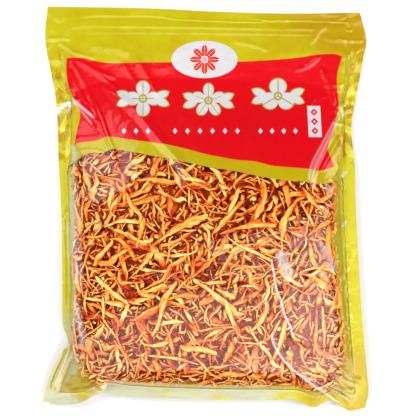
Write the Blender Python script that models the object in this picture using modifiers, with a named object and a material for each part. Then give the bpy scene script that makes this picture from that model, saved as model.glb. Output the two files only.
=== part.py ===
"""A sealed flat pouch of dried cordyceps, lying on its back with its printed face up.

+X runs across the pouch, +Y from its bottom seal to its top seal, and +Z up through the front film.
The origin is on the surface that the pouch lies on, under the middle of its outline. Tables and
driving dimensions are in millimetres. A place on either film is (u, v): u is 0 at the left edge and
1 at the right edge, v is 0 at the bottom edge and 1 at the top edge.
"""

import math
import random

import bmesh
import bpy

MM = 0.001

# The empty pouch, laid flat.
FLAT_WIDTH = 220.0
FLAT_HEIGHT = 280.0

# The outline of the filled pouch seen from above: (fraction along the edge, x, y). The sides pull in
# beside the filling, and the bottom corners flare out past it.
LEFT_EDGE = (
    (0.00, -113.5, -138.5),
    (0.06, -108.5, -121.0),
    (0.11, -101.5, -106.0),
    (0.15, -95.5, -96.5),
    (0.20, -99.0, -84.0),
    (0.30, -99.3, -57.0),
    (0.50, -100.1, -2.0),
    (0.63, -102.0, 32.0),
    (0.76, -103.4, 69.0),
    (0.82, -106.0, 86.0),
    (0.92, -111.5, 116.5),
    (1.00, -109.9, 139.7),
)
RIGHT_EDGE = (
    (0.00, 113.5, -142.5),
    (0.04, 115.8, -132.0),
    (0.10, 114.5, -116.0),
    (0.24, 111.0, -75.0),
    (0.50, 106.9, -2.0),
    (0.62, 106.2, 28.0),
    (0.71, 103.8, 54.0),
    (0.78, 106.8, 73.5),
    (0.88, 112.4, 104.0),
    (0.92, 114.4, 115.5),
    (1.00, 109.9, 135.4),
)
BOTTOM_EDGE = (
    (0.00, -113.5, -138.5),
    (0.06, -99.0, -140.3),
    (0.12, -86.5, -138.9),
    (0.19, -73.0, -132.5),
    (0.28, -52.0, -134.5),
    (0.50, 0.0, -136.6),
    (0.72, 50.0, -137.0),
    (0.79, 65.0, -137.5),
    (0.84, 77.0, -142.0),
    (0.90, 90.0, -137.3),
    (0.95, 102.0, -144.5),
    (1.00, 113.5, -142.5),
)
TOP_EDGE = (
    (0.00, -109.9, 139.7),
    (0.33, -37.0, 138.4),
    (0.55, 11.0, 136.0),
    (0.78, 62.0, 134.7),
    (1.00, 109.9, 135.4),
)

# The heat seals, as fractions of the flat pouch, and the films' thickness and gap there.
SIDE_SEAL = 0.042
BOTTOM_SEAL = 0.028
FILM = 0.4
SEAL_GAP = 0.3

# The filling lifts the front film this far above the seam, and presses the back film flat on the
# surface below. The seam falls to the surface along the empty top of the pouch, and its bottom
# corners droop.
SEAM_HEIGHT = 11.0
HEADER_HEIGHT = 2.4
SEAM_FALLS_FROM, SEAM_LOW_FROM = 0.45, 0.88
CORNER_DROOP = 5.0
CORNER_WIDTH, CORNER_LENGTH = 0.18, 0.16
RISE = 27.0
DROP = 18.0
SIDE_ROUND, END_ROUND = 3.0, 1.5
BOTTOM_SLOPE = 0.26
FULL_UP_TO, EMPTY_FROM = 0.50, 0.89

# The press-to-close zip: a rib on a tape inside the front film, and a hooked groove on a tape inside
# the back film. It holds the two films ZIP_OPEN apart.
ZIP_AT = 0.94
ZIP_END = SIDE_SEAL + 0.035
ZIP_FLAT, ZIP_REACH = 0.016, 0.042
ZIP_OPEN = 3.0
ZIP_STATIONS = 9
RIB_PROFILE = (
    (-5.0, 1.2), (5.0, 1.2), (5.0, 0.9), (0.35, 0.9), (0.35, -0.1), (0.7, -0.1),
    (0.0, -0.5), (-0.7, -0.1), (-0.35, -0.1), (-0.35, 0.9), (-5.0, 0.9),
)
GROOVE_PROFILE = (
    (-5.0, -1.2), (-5.0, -0.9), (-1.5, -0.9), (-1.5, 0.55), (-0.7, 0.55), (-0.7, 0.2),
    (-1.05, 0.2), (-1.05, -0.9), (1.05, -0.9), (1.05, 0.2), (0.7, 0.2), (0.7, 0.55),
    (1.5, 0.55), (1.5, -0.9), (5.0, -0.9), (5.0, -1.2),
)

# Folds pressed into the front film: from (u, v), to (u, v), half width, height. They gather at the
# two pinches beside the shoulders of the filling and at the bottom corners, and fade out into the
# seals over FOLD_MARGIN.
FOLD_MARGIN = 0.04
FOLDS = (
    (0.03, 0.91, 0.27, 0.70, 7.0, 2.6),
    (0.05, 0.77, 0.20, 0.67, 6.0, -2.2),
    (0.04, 0.73, 0.17, 0.60, 6.0, 2.6),
    (0.97, 0.72, 0.84, 0.58, 6.0, 2.8),
    (0.96, 0.80, 0.86, 0.70, 6.0, -1.8),
    (0.97, 0.90, 0.80, 0.80, 7.0, 1.8),
    (0.98, 0.02, 0.80, 0.14, 5.0, 3.2),
    (0.80, 0.14, 0.76, 0.26, 5.0, 2.0),
    (0.02, 0.02, 0.16, 0.10, 6.0, 3.0),
)

# The filling: a bed that stands for the many strands below, with single strands laid on it.
BED_SIDES, BED_BOTTOM, BED_TOP = 0.085, 0.065, 0.735
BED_BELOW_FILM = 4.4
BED_ABOVE_BACK = 0.5
BED_RIM = 1.5
BED_REACH = 5.0
BED_LUMP = 0.7
STRANDS, LONG_STRANDS = 44, 22
SHORTER = 0.72
STRAND_SEED = 29
STRAND_LENGTH = (36.0, 66.0)
STRAND_WIDTH = (3.2, 6.4)
STRAND_THICKNESS = 0.42
STRAND_SIDES = 6
STRAND_BEND, STRAND_SWAY = 0.9, 0.5
STRAND_SPACING = 0.9
STRAND_CLEARANCE = 1.1
STRAND_U, STRAND_V = (0.105, 0.895), (0.085, 0.645)
# A strand's half width at each of its points, as shares of its widest, from its cut end to its tip.
STRAND_RADII = (0.34, 0.46, 0.58, 0.72, 0.92, 1.0, 0.42)

# Where the films' and the bed's grids have their lines. The first row is one half of a symmetric set.
HALF_COLUMNS = (0.0, 0.021, 0.042, 0.055, 0.075, 0.10, 0.14, 0.185, 0.235, 0.295, 0.36, 0.43)
ROWS = (
    0.0, 0.014, 0.028, 0.045, 0.07, 0.10, 0.14, 0.19, 0.25, 0.33, 0.42, 0.50, 0.56, 0.61, 0.66,
    0.71, 0.76, 0.80, 0.84, 0.87, 0.898, 0.91, 0.922, 0.958, 0.97, 0.982, 1.0,
)
BED_ACROSS, BED_ALONG = 15, 17
BED_CROWDING = 0.4

GOLD = (0.78, 0.66, 0.05, 1.0)
CLEAR = (0.92, 0.93, 0.86, 1.0)
ZIP_TINT = (0.86, 0.80, 0.40, 1.0)
ORANGE = (0.80, 0.26, 0.03, 1.0)
DARK_ORANGE = (0.42, 0.10, 0.02, 1.0)


def ease(t):
    """A smooth step from 0 to 1."""
    t = min(max(t, 0.0), 1.0)
    return t * t * (3.0 - 2.0 * t)


def on_edge(table, t):
    """The point at fraction t of an edge, on a smooth curve through the table's points."""
    last = len(table) - 2
    i = min(max(sum(row[0] <= t for row in table) - 1, 0), last)
    before, start, end, after = (table[min(max(k, 0), last + 1)] for k in (i - 1, i, i + 1, i + 2))
    span = end[0] - start[0]
    s = (t - start[0]) / span
    found = []
    for axis in (1, 2):
        slope_in = (end[axis] - before[axis]) / (end[0] - before[0]) * span
        slope_out = (after[axis] - start[axis]) / (after[0] - start[0]) * span
        found.append(
            start[axis] * (2 * s**3 - 3 * s**2 + 1)
            + end[axis] * (3 * s**2 - 2 * s**3)
            + slope_in * (s**3 - 2 * s**2 + s)
            + slope_out * (s**3 - s**2)
        )
    return found


def plan_place(u, v):
    """Where (u, v) lies seen from above, blended from the four edges."""
    left, right = on_edge(LEFT_EDGE, v), on_edge(RIGHT_EDGE, v)
    bottom, top = on_edge(BOTTOM_EDGE, u), on_edge(TOP_EDGE, u)
    corners = [
        [on_edge(LEFT_EDGE, 0.0), on_edge(RIGHT_EDGE, 0.0)],
        [on_edge(LEFT_EDGE, 1.0), on_edge(RIGHT_EDGE, 1.0)],
    ]
    place = []
    for axis in (0, 1):
        sides = (1 - u) * left[axis] + u * right[axis]
        ends = (1 - v) * bottom[axis] + v * top[axis]
        bilinear = sum(
            wv * wu * corners[j][i][axis]
            for j, wv in enumerate((1 - v, v))
            for i, wu in enumerate((1 - u, u))
        )
        place.append(sides + ends - bilinear)
    return place


def outline_middle():
    """The middle of the box round the outline, which becomes the origin."""
    steps = [i / 400 for i in range(401)]
    rim = [plan_place(t, end) for t in steps for end in (0.0, 1.0)]
    rim += [plan_place(end, t) for t in steps for end in (0.0, 1.0)]
    return [(min(p[axis] for p in rim) + max(p[axis] for p in rim)) / 2 for axis in (0, 1)]


def seam_height(u, v):
    """The height of the seam's plane: raised beside the filling, low along the empty top."""
    fall = ease((v - SEAM_FALLS_FROM) / (SEAM_LOW_FROM - SEAM_FALLS_FROM))
    corner = ease(1 - v / CORNER_LENGTH) * ease(1 - min(u, 1 - u) / CORNER_WIDTH)
    return SEAM_HEIGHT + (HEADER_HEIGHT - SEAM_HEIGHT) * fall - CORNER_DROOP * corner


def rounded(t):
    """A rise from 0 to 1 that leaves the seam steeply and flattens out."""
    t = min(max(t, 0.0), 1.0)
    return (1 - (1 - t) ** SIDE_ROUND) ** (1 / END_ROUND)


def fullness(u, v):
    """How far the filling parts the films, from 0 at the seals to 1 over the middle."""
    across = rounded((min(u, 1 - u) - SIDE_SEAL) / (0.5 - SIDE_SEAL))
    up = rounded((v - BOTTOM_SEAL) / BOTTOM_SLOPE)
    down = 1 - ease((v - FULL_UP_TO) / (EMPTY_FROM - FULL_UP_TO))
    return across * up * down


def zip_parting(u, v):
    """How far the zip parts the films, from 0 to 1."""
    along = ease((min(u, 1 - u) - SIDE_SEAL) / (ZIP_END - SIDE_SEAL))
    return along * ease((ZIP_REACH - abs(v - ZIP_AT)) / (ZIP_REACH - ZIP_FLAT))


def fold_lift(u, v):
    """The folds' height at (u, v)."""
    lift = 0.0
    for u0, v0, u1, v1, half_width, height in FOLDS:
        run = ((u1 - u0) * FLAT_WIDTH, (v1 - v0) * FLAT_HEIGHT)
        way = ((u - u0) * FLAT_WIDTH, (v - v0) * FLAT_HEIGHT)
        length = math.hypot(*run)
        share = (way[0] * run[0] + way[1] * run[1]) / length**2
        aside = (way[0] * run[1] - way[1] * run[0]) / length
        ends = ease(1 - (2 * share - 1) ** 2)
        lift += height * ends * math.exp(-((aside / half_width) ** 2))
    inside = min(min(u, 1 - u) - SIDE_SEAL, v - BOTTOM_SEAL)
    return lift * ease(inside / FOLD_MARGIN)


def front_height(u, v):
    """The inner face of the front film."""
    apart = SEAL_GAP / 2 + (ZIP_OPEN / 2) * zip_parting(u, v)
    return seam_height(u, v) + apart + RISE * fullness(u, v) + fold_lift(u, v)


def back_height(u, v):
    """The inner face of the back film, which lies flat where the filling presses it down."""
    apart = SEAL_GAP / 2 + (ZIP_OPEN / 2) * zip_parting(u, v)
    return max(FILM, seam_height(u, v) - apart - DROP * fullness(u, v))


def placed(u, v, height):
    """A film place as a point in metres in the part's own frame."""
    x, y = plan_place(u, v)
    return ((x - MIDDLE[0]) * MM, (y - MIDDLE[1]) * MM, height * MM)


def grid_fractions(vertex):
    """A primitive grid's vertex as fractions from 0 to 1 along its two sides."""
    return [min(max(c + 0.5, 0.0), 1.0) for c in vertex.co.xy]


def material(name, colour, roughness, alpha=1.0):
    made = bpy.data.materials.new(name)
    made.use_nodes = True
    shader = made.node_tree.nodes["Principled BSDF"]
    shader.inputs["Base Color"].default_value = colour
    shader.inputs["Roughness"].default_value = roughness
    shader.inputs["Metallic"].default_value = 0.0
    shader.inputs["Alpha"].default_value = alpha
    return made


def add_object(name, data, look, collection):
    obj = bpy.data.objects.new(name, data)
    collection.objects.link(obj)
    data.materials.append(look)
    return obj


def film(name, height_at, look, collection, outward):
    """One film of the pouch: a sheet shaped by height_at and thickened away from the filling."""
    columns = [*HALF_COLUMNS, 0.5, *(1 - u for u in reversed(HALF_COLUMNS))]
    across, along = len(columns) - 1, len(ROWS) - 1
    bm = bmesh.new()
    bmesh.ops.create_grid(bm, x_segments=across, y_segments=along, size=0.5)
    for vertex in bm.verts:
        s, t = grid_fractions(vertex)
        u, v = columns[round(s * across)], ROWS[round(t * along)]
        vertex.co = placed(u, v, height_at(u, v))
    mesh = bpy.data.meshes.new(name)
    bm.to_mesh(mesh)
    bm.free()
    mesh.shade_smooth()
    obj = add_object(name, mesh, look, collection)
    solidify = obj.modifiers.new("thickness", "SOLIDIFY")
    solidify.thickness = FILM * MM
    solidify.offset = outward
    return obj


def zip_track(name, profile, look, collection):
    """A zip tape with its rib or groove: the profile drawn along the pouch's width."""
    section = bpy.data.curves.new(name + "_profile", "CURVE")
    section.dimensions = "2D"
    line = section.splines.new("POLY")
    line.points.add(len(profile) - 1)
    for point, (across, up) in zip(line.points, profile):
        point.co = (across * MM, up * MM, 0.0, 1.0)
    line.use_cyclic_u = True
    guide = bpy.data.objects.new(name + "_profile", section)
    guide.hide_render = True
    guide.display_type = "WIRE"
    GUIDES.objects.link(guide)

    route = bpy.data.curves.new(name, "CURVE")
    route.dimensions = "3D"
    route.twist_mode = "Z_UP"
    route.bevel_mode = "OBJECT"
    route.bevel_object = guide
    route.use_fill_caps = True
    spline = route.splines.new("POLY")
    spline.points.add(ZIP_STATIONS - 1)
    for i, point in enumerate(spline.points):
        u = ZIP_END + (1 - 2 * ZIP_END) * i / (ZIP_STATIONS - 1)
        point.co = (*placed(u, ZIP_AT, seam_height(u, ZIP_AT)), 1.0)
    return add_object(name, route, look, collection)


def lump(u, v):
    """The unevenness of the strands' pile, from 0 to 1: slow waves that bend each other."""
    return (1 + math.sin(23 * u + 3 * math.sin(9 * v)) * math.cos(19 * v + 2 * math.sin(11 * u))) / 2


def around(height_at, u, v, reach):
    """A film's heights at (u, v) and at eight places within reach of it."""
    du, dv = reach / FLAT_WIDTH, reach / FLAT_HEIGHT
    return [height_at(u + i * du, v + j * dv) for i in (-1, 0, 1) for j in (-1, 0, 1)]


def crowded(t):
    """A grid fraction moved towards the two ends, where the bed bends most."""
    return t - BED_CROWDING * math.sin(2 * math.pi * t) / (2 * math.pi)


def bed(name, look, collection):
    """The pile of strands as one closed form: a grid under the front film, closed by one over the back film."""
    bm = bmesh.new()
    bmesh.ops.create_grid(bm, x_segments=BED_ACROSS, y_segments=BED_ALONG, size=0.5)
    lower = list(bm.verts)
    made = bmesh.ops.extrude_face_region(bm, geom=bm.faces[:], use_keep_orig=True)
    upper = {v for v in made["geom"] if isinstance(v, bmesh.types.BMVert)}
    for vertex in lower + list(upper):
        s, t = (crowded(c) for c in grid_fractions(vertex))
        u = BED_SIDES + (1 - 2 * BED_SIDES) * s
        v = BED_BOTTOM + (BED_TOP - BED_BOTTOM) * t
        height = max(around(back_height, u, v, BED_REACH)) + BED_ABOVE_BACK
        if vertex in upper:
            below = BED_BELOW_FILM + BED_LUMP * lump(u, v)
            height = max(height + BED_RIM, min(around(front_height, u, v, BED_REACH)) - below)
        vertex.co = placed(u, v, height)
    bmesh.ops.recalc_face_normals(bm, faces=bm.faces[:])
    mesh = bpy.data.meshes.new(name)
    bm.to_mesh(mesh)
    bm.free()
    mesh.shade_smooth()
    return add_object(name, mesh, look, collection)


def strand_routes():
    """Routes of the strands on top of the bed, none touching another: (width, [(s, t), ...]) in flat millimetres."""
    draw = random.Random(STRAND_SEED)
    low = (STRAND_U[0] * FLAT_WIDTH, STRAND_V[0] * FLAT_HEIGHT)
    high = (STRAND_U[1] * FLAT_WIDTH, STRAND_V[1] * FLAT_HEIGHT)
    routes = []
    while len(routes) < STRANDS:
        width = draw.uniform(*STRAND_WIDTH)
        length = draw.uniform(*STRAND_LENGTH) * (1.0 if len(routes) < LONG_STRANDS else SHORTER)
        heading = draw.uniform(0, 2 * math.pi)
        bend = draw.uniform(-STRAND_BEND, STRAND_BEND)
        sway = draw.uniform(-STRAND_SWAY, STRAND_SWAY)
        s, t = draw.uniform(low[0], high[0]), draw.uniform(low[1], high[1])
        steps = len(STRAND_RADII) - 1
        step = length / steps
        route = [(s, t)]
        for i in range(1, steps + 1):
            share = i / steps
            way = heading + bend * share + sway * math.sin(2 * math.pi * share)
            s, t = s + step * math.cos(way), t + step * math.sin(way)
            route.append((s, t))
        inside = all(low[0] < s < high[0] and low[1] < t < high[1] for s, t in route)
        if inside and all(apart(route, width, other, wide) for wide, other in routes):
            routes.append((width, route))
    return routes


def apart(route, width, other, wide):
    """True if two routes keep clear of each other by their half widths and the spacing."""
    needed = (width + wide) / 2 + STRAND_SPACING
    return all(
        segment_distance(p, other[i], other[i + 1]) > needed
        for p in between(route)
        for i in range(len(other) - 1)
    )


def between(route):
    """The route's points, and two more on each stretch."""
    for (s0, t0), (s1, t1) in zip(route, route[1:]):
        for share in (0, 1 / 3, 2 / 3):
            yield s0 + (s1 - s0) * share, t0 + (t1 - t0) * share
    yield route[-1]


def segment_distance(point, start, end):
    run = (end[0] - start[0], end[1] - start[1])
    way = (point[0] - start[0], point[1] - start[1])
    share = (way[0] * run[0] + way[1] * run[1]) / (run[0] ** 2 + run[1] ** 2)
    share = min(max(share, 0.0), 1.0)
    return math.hypot(way[0] - share * run[0], way[1] - share * run[1])


def strand_profile():
    """The flattened section that every strand is drawn with, one millimetre in half width."""
    section = bpy.data.curves.new("strand_section", "CURVE")
    section.dimensions = "2D"
    line = section.splines.new("POLY")
    line.points.add(STRAND_SIDES - 1)
    for i, point in enumerate(line.points):
        turn = -2 * math.pi * i / STRAND_SIDES
        point.co = (math.cos(turn) * MM, math.sin(turn) * STRAND_THICKNESS * MM, 0.0, 1.0)
    line.use_cyclic_u = True
    guide = bpy.data.objects.new("strand_section", section)
    guide.hide_render = True
    guide.display_type = "WIRE"
    GUIDES.objects.link(guide)
    return guide


def strand(name, width, route, section, look, collection):
    """One dried fruiting body: a thin stalk that widens to a flattened, blunt club."""
    curve = bpy.data.curves.new(name, "CURVE")
    curve.dimensions = "3D"
    curve.twist_mode = "Z_UP"
    curve.bevel_mode = "OBJECT"
    curve.bevel_object = section
    curve.use_fill_caps = True
    spline = curve.splines.new("POLY")
    spline.points.add(len(route) - 1)
    half = width / 2
    for point, (s, t), share in zip(spline.points, route, STRAND_RADII):
        u, v = s / FLAT_WIDTH, t / FLAT_HEIGHT
        below = STRAND_CLEARANCE + half * share * STRAND_THICKNESS
        point.co = (*placed(u, v, min(around(front_height, u, v, half)) - below), 1.0)
        point.radius = half * share
    return add_object(name, curve, look, collection)


def new_collection(name):
    made = bpy.data.collections.new(name)
    bpy.context.scene.collection.children.link(made)
    return made


def clear_scene():
    for obj in list(bpy.data.objects):
        bpy.data.objects.remove(obj)


clear_scene()
MIDDLE = outline_middle()
POUCH = new_collection("pouch_of_dried_cordyceps")
GUIDES = new_collection("guides")

gold_film = material("gold_film", GOLD, 0.25)
clear_film = material("clear_film", CLEAR, 0.08, alpha=0.35)
zip_plastic = material("zip_plastic", ZIP_TINT, 0.35)
strand_flesh = material("dried_cordyceps", ORANGE, 0.7)
bed_flesh = material("packed_cordyceps", DARK_ORANGE, 0.8)

film("back_film", back_height, gold_film, POUCH, outward=-1)
film("front_film", front_height, clear_film, POUCH, outward=1)
zip_track("zip_rib", RIB_PROFILE, zip_plastic, POUCH)
zip_track("zip_groove", GROOVE_PROFILE, zip_plastic, POUCH)
bed("packed_cordyceps", bed_flesh, POUCH)
flat_section = strand_profile()
for number, (strand_width, strand_route) in enumerate(strand_routes(), start=1):
    strand(f"strand_{number:02d}", strand_width, strand_route, flat_section, strand_flesh, POUCH)
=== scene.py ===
"""The looks of a sealed flat pouch of dried cordyceps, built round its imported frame.

The pouch lies on its back. A film place is (u, v): u runs from the left edge to the right edge, v from
the bottom edge to the top edge. Tables and working arrays are in millimetres in the frame's own axes,
and meshes are made from them in metres. The front film is drawn first, to widths and a height of its
own, and the strands are then packed up against it from inside, from the topmost down. The raw plan is
the view from above, in millimetres, before it is centred on the frame's origin.
"""

import math
from collections import namedtuple

import bpy
import numpy as np
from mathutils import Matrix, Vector


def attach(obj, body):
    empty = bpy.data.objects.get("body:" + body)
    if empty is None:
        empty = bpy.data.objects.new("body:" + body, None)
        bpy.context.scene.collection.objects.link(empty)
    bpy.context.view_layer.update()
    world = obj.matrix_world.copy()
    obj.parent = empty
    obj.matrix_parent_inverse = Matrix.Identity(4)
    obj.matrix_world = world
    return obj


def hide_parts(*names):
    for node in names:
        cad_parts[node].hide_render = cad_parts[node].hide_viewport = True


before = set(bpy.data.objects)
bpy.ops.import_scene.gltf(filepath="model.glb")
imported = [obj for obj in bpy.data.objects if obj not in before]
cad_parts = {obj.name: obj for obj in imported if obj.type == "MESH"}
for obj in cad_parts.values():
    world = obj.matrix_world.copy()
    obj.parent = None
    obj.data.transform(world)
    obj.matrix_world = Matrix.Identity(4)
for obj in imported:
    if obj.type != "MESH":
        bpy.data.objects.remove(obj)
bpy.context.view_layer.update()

MM = 0.001

# The pouch's shape, as the frame has it: its edges are rows of a share of the edge's length, x and y.
FLAT_WIDTH, FLAT_HEIGHT = 220.0, 280.0
LEFT_EDGE = (
    (0.00, -113.5, -138.5),
    (0.06, -108.5, -121.0),
    (0.11, -101.5, -106.0),
    (0.15, -95.5, -96.5),
    (0.20, -99.0, -84.0),
    (0.30, -99.3, -57.0),
    (0.50, -100.1, -2.0),
    (0.63, -102.0, 32.0),
    (0.76, -103.4, 69.0),
    (0.82, -106.0, 86.0),
    (0.92, -111.5, 116.5),
    (1.00, -109.9, 139.7),
)
RIGHT_EDGE = (
    (0.00, 113.5, -142.5),
    (0.04, 115.8, -132.0),
    (0.10, 114.5, -116.0),
    (0.24, 111.0, -75.0),
    (0.50, 106.9, -2.0),
    (0.62, 106.2, 28.0),
    (0.71, 103.8, 54.0),
    (0.78, 106.8, 73.5),
    (0.88, 112.4, 104.0),
    (0.92, 114.4, 115.5),
    (1.00, 109.9, 135.4),
)
BOTTOM_EDGE = (
    (0.00, -113.5, -138.5),
    (0.06, -99.0, -140.3),
    (0.12, -86.5, -138.9),
    (0.19, -73.0, -132.5),
    (0.28, -52.0, -134.5),
    (0.50, 0.0, -136.6),
    (0.72, 50.0, -137.0),
    (0.79, 65.0, -137.5),
    (0.84, 77.0, -142.0),
    (0.90, 90.0, -137.3),
    (0.95, 102.0, -144.5),
    (1.00, 113.5, -142.5),
)
TOP_EDGE = (
    (0.00, -109.9, 139.7),
    (0.33, -37.0, 138.4),
    (0.55, 11.0, 136.0),
    (0.78, 62.0, 134.7),
    (1.00, 109.9, 135.4),
)
SIDE_SEAL, BOTTOM_SEAL = 0.042, 0.028
SEAM_HEIGHT, HEADER_HEIGHT = 11.0, 2.4
SEAM_FALLS_FROM, SEAM_LOW_FROM = 0.45, 0.88
CORNER_DROOP = 5.0
CORNER_WIDTH, CORNER_LENGTH = 0.18, 0.16
RISE, DROP = 27.0, 18.0
SIDE_ROUND, END_ROUND = 3.0, 1.5
BOTTOM_SLOPE = 0.26
FULL_UP_TO, EMPTY_FROM = 0.50, 0.89
ZIP_AT = 0.94
ZIP_END = SIDE_SEAL + 0.035
ZIP_FLAT, ZIP_REACH = 0.016, 0.042
ZIP_OPEN = 3.0

# Where the drawn films differ from the frame: they are thinner, the seals' inner edges are soft, and
# the left seal is narrower between two heights, each given by its start and its length along v.
FILM = 0.15
SEAL_GAP = 0.12
SEAL_EDGE = 0.012
NARROWER, NARROW_FROM, NARROW_TO = 0.017, (0.10, 0.08), (0.58, 0.08)

# The camera's height in metres, the width of floor that the photo spans, and its middle on the raw plan.
CAMERA_HEIGHT = 3.0
PHOTO_SPAN = 0.2933
PHOTO_MIDDLE = (3.03, -2.1)
CORRECTIONS = 12


# ---------------------------------------------------------------- the shape of the pouch


def ease(t):
    """A smooth step from 0 to 1."""
    t = np.clip(t, 0.0, 1.0)
    return t * t * (3.0 - 2.0 * t)


def on_edge(table, t):
    """The points at fractions t of an edge, on a smooth curve through the table's points."""
    rows = np.array(table)
    t = np.asarray(t, float)
    last = len(rows) - 2
    i = np.clip(np.searchsorted(rows[:, 0], t, side="right") - 1, 0, last)
    before, start, end, after = (rows[np.clip(k, 0, last + 1)] for k in (i - 1, i, i + 1, i + 2))
    span = (end[..., 0] - start[..., 0])[..., None]
    s = (t[..., None] - start[..., :1]) / span
    slope_in = (end - before)[..., 1:] / (end - before)[..., :1] * span
    slope_out = (after - start)[..., 1:] / (after - start)[..., :1] * span
    return (
        start[..., 1:] * (2 * s**3 - 3 * s**2 + 1)
        + end[..., 1:] * (3 * s**2 - 2 * s**3)
        + slope_in * (s**3 - 2 * s**2 + s)
        + slope_out * (s**3 - s**2)
    )


def raw_plan(u, v):
    """Where (u, v) lies seen from above, blended from the four edges, before it is centred."""
    left, right = on_edge(LEFT_EDGE, v), on_edge(RIGHT_EDGE, v)
    bottom, top = on_edge(BOTTOM_EDGE, u), on_edge(TOP_EDGE, u)
    corners = [[on_edge(table, end) for table in (LEFT_EDGE, RIGHT_EDGE)] for end in (0.0, 1.0)]
    u, v = u[..., None], v[..., None]
    bilinear = (1 - v) * ((1 - u) * corners[0][0] + u * corners[0][1]) + v * (
        (1 - u) * corners[1][0] + u * corners[1][1]
    )
    return (1 - u) * left + u * right + (1 - v) * bottom + v * top - bilinear


def outline_middle():
    """The middle of the box round the outline, which is the frame's origin."""
    t = np.linspace(0, 1, 401)
    zero, one = np.zeros_like(t), np.ones_like(t)
    rim = np.concatenate([raw_plan(t, zero), raw_plan(t, one), raw_plan(zero, t), raw_plan(one, t)])
    return (rim.min(0) + rim.max(0)) / 2


MIDDLE = outline_middle()


def plan(u, v):
    return raw_plan(u, v) - MIDDLE


def at_height(u, v, height):
    """The points of the frame at (u, v) and these heights."""
    return np.concatenate([plan(u, v), height[..., None]], -1)


def seam_height(u, v):
    """The height of the seam's plane: raised beside the filling, low along the empty top."""
    fall = ease((v - SEAM_FALLS_FROM) / (SEAM_LOW_FROM - SEAM_FALLS_FROM))
    corner = ease(1 - v / CORNER_LENGTH) * ease(1 - np.minimum(u, 1 - u) / CORNER_WIDTH)
    return SEAM_HEIGHT + (HEADER_HEIGHT - SEAM_HEIGHT) * fall - CORNER_DROOP * corner


def rounded(t):
    """A rise from 0 to 1 that leaves the seam steeply and flattens out."""
    t = np.clip(t, 0.0, 1.0)
    return (1 - (1 - t) ** SIDE_ROUND) ** (1 / END_ROUND)


def seal_width(u, v):
    """The side seal's share of the pouch's width, which is less down the lower left side."""
    lower = ease((v - NARROW_FROM[0]) / NARROW_FROM[1]) * (1 - ease((v - NARROW_TO[0]) / NARROW_TO[1]))
    return SIDE_SEAL - NARROWER * lower * (u < 0.5)


def fullness(u, v):
    """How far the filling parts the films, from 0 at the seals to 1 over the middle."""
    seal = seal_width(u, v)
    across = rounded((np.minimum(u, 1 - u) - seal) / (0.5 - seal))
    up = rounded((v - BOTTOM_SEAL) / BOTTOM_SLOPE)
    down = 1 - ease((v - FULL_UP_TO) / (EMPTY_FROM - FULL_UP_TO))
    return across * up * down


def zip_parting(u, v):
    """How far the zip parts the films, from 0 to 1."""
    along = ease((np.minimum(u, 1 - u) - SIDE_SEAL) / (ZIP_END - SIDE_SEAL))
    return along * ease((ZIP_REACH - abs(v - ZIP_AT)) / (ZIP_REACH - ZIP_FLAT))


def front_height(u, v):
    apart = SEAL_GAP / 2 + (ZIP_OPEN / 2) * zip_parting(u, v)
    return seam_height(u, v) + apart + RISE * fullness(u, v)


def back_height(u, v):
    apart = SEAL_GAP / 2 + (ZIP_OPEN / 2) * zip_parting(u, v)
    return np.maximum(FILM, seam_height(u, v) - apart - DROP * fullness(u, v))


def in_seal(u, v):
    """1 in the welded margin and 0 inside it."""
    inside = np.minimum(np.minimum(u, 1 - u) - seal_width(u, v), v - BOTTOM_SEAL)
    return 1 - ease(inside / SEAL_EDGE + 0.5)


def seen_at(x, y):
    """The place (u, v) that lies at (x, y) of the raw plan, found by repeated correction."""
    x, y = np.asarray(x, float), np.asarray(y, float)
    u, v = x / FLAT_WIDTH + 0.5, y / FLAT_HEIGHT + 0.5
    for _ in range(CORRECTIONS):
        miss = raw_plan(np.clip(u, 0, 1), np.clip(v, 0, 1))
        u = u + (x - miss[..., 0]) / FLAT_WIDTH
        v = v + (y - miss[..., 1]) / FLAT_HEIGHT
    return u, v


def seen_plan(points):
    """Where the camera sees points, on the raw plan at the floor's height."""
    eye = np.array(PHOTO_MIDDLE) - MIDDLE
    height = CAMERA_HEIGHT / MM
    nearer = height / (height - points[..., 2:])
    return eye + (points[..., :2] - eye) * nearer + MIDDLE


def smooth_line(points, count):
    """Points evenly along a smooth curve through a list of points."""
    points = np.array(points, float)
    along = np.concatenate([[0.0], np.cumsum(np.linalg.norm(np.diff(points, axis=0), axis=1))])
    table = np.column_stack([along / along[-1], points])
    return on_edge(table, np.linspace(0, 1, count))


# ---------------------------------------------------------------- the films

# The columns, rows and steps of each grid that the front film is drawn in, and its widths at the bottom
# and the top and its height, measured over its surface.
FILM_LEVELS = ((64, 82, 400), (128, 164, 220), (256, 326, 50))
REST_BOTTOM, REST_TOP, REST_HEIGHT = 233.0, 225.0, 289.0
FILM_SEED = 7
# How much of its speed it keeps, how fast bends ease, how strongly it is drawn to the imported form, how
# much of each edge's error one step takes away, and how far its points start astray.
SPEED_KEPT, BENDING, FORM_PULL = 0.86, 0.15, 0.004
STIFFNESS = {"row": 0.9, "column": 0.9, "rising": 0.3, "falling": 0.3}
START_ASTRAY, LEAST_LENGTH = 0.3, 1e-6
FILMS_APART = 0.6
TOP_HELD_FROM, ZIP_HELD_FROM = 0.985, 0.3

# The two long folds that run to the lower right corner, on the raw plan.
UPPER_FOLD = (
    (46.5, -34), (49.6, -48.6), (51, -58.5), (53.8, -65.6), (57.3, -78.3), (61.5, -86.7),
    (62.5, -98),
)
LOWER_FOLD = (
    (54, -84), (49.6, -88.1), (48.2, -93.8), (50.3, -100.1), (55.2, -107.9), (61.5, -114.9),
    (68.6, -120.6), (75.6, -126.2), (84.1, -131.8), (92.6, -137.5), (98, -141),
)

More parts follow.
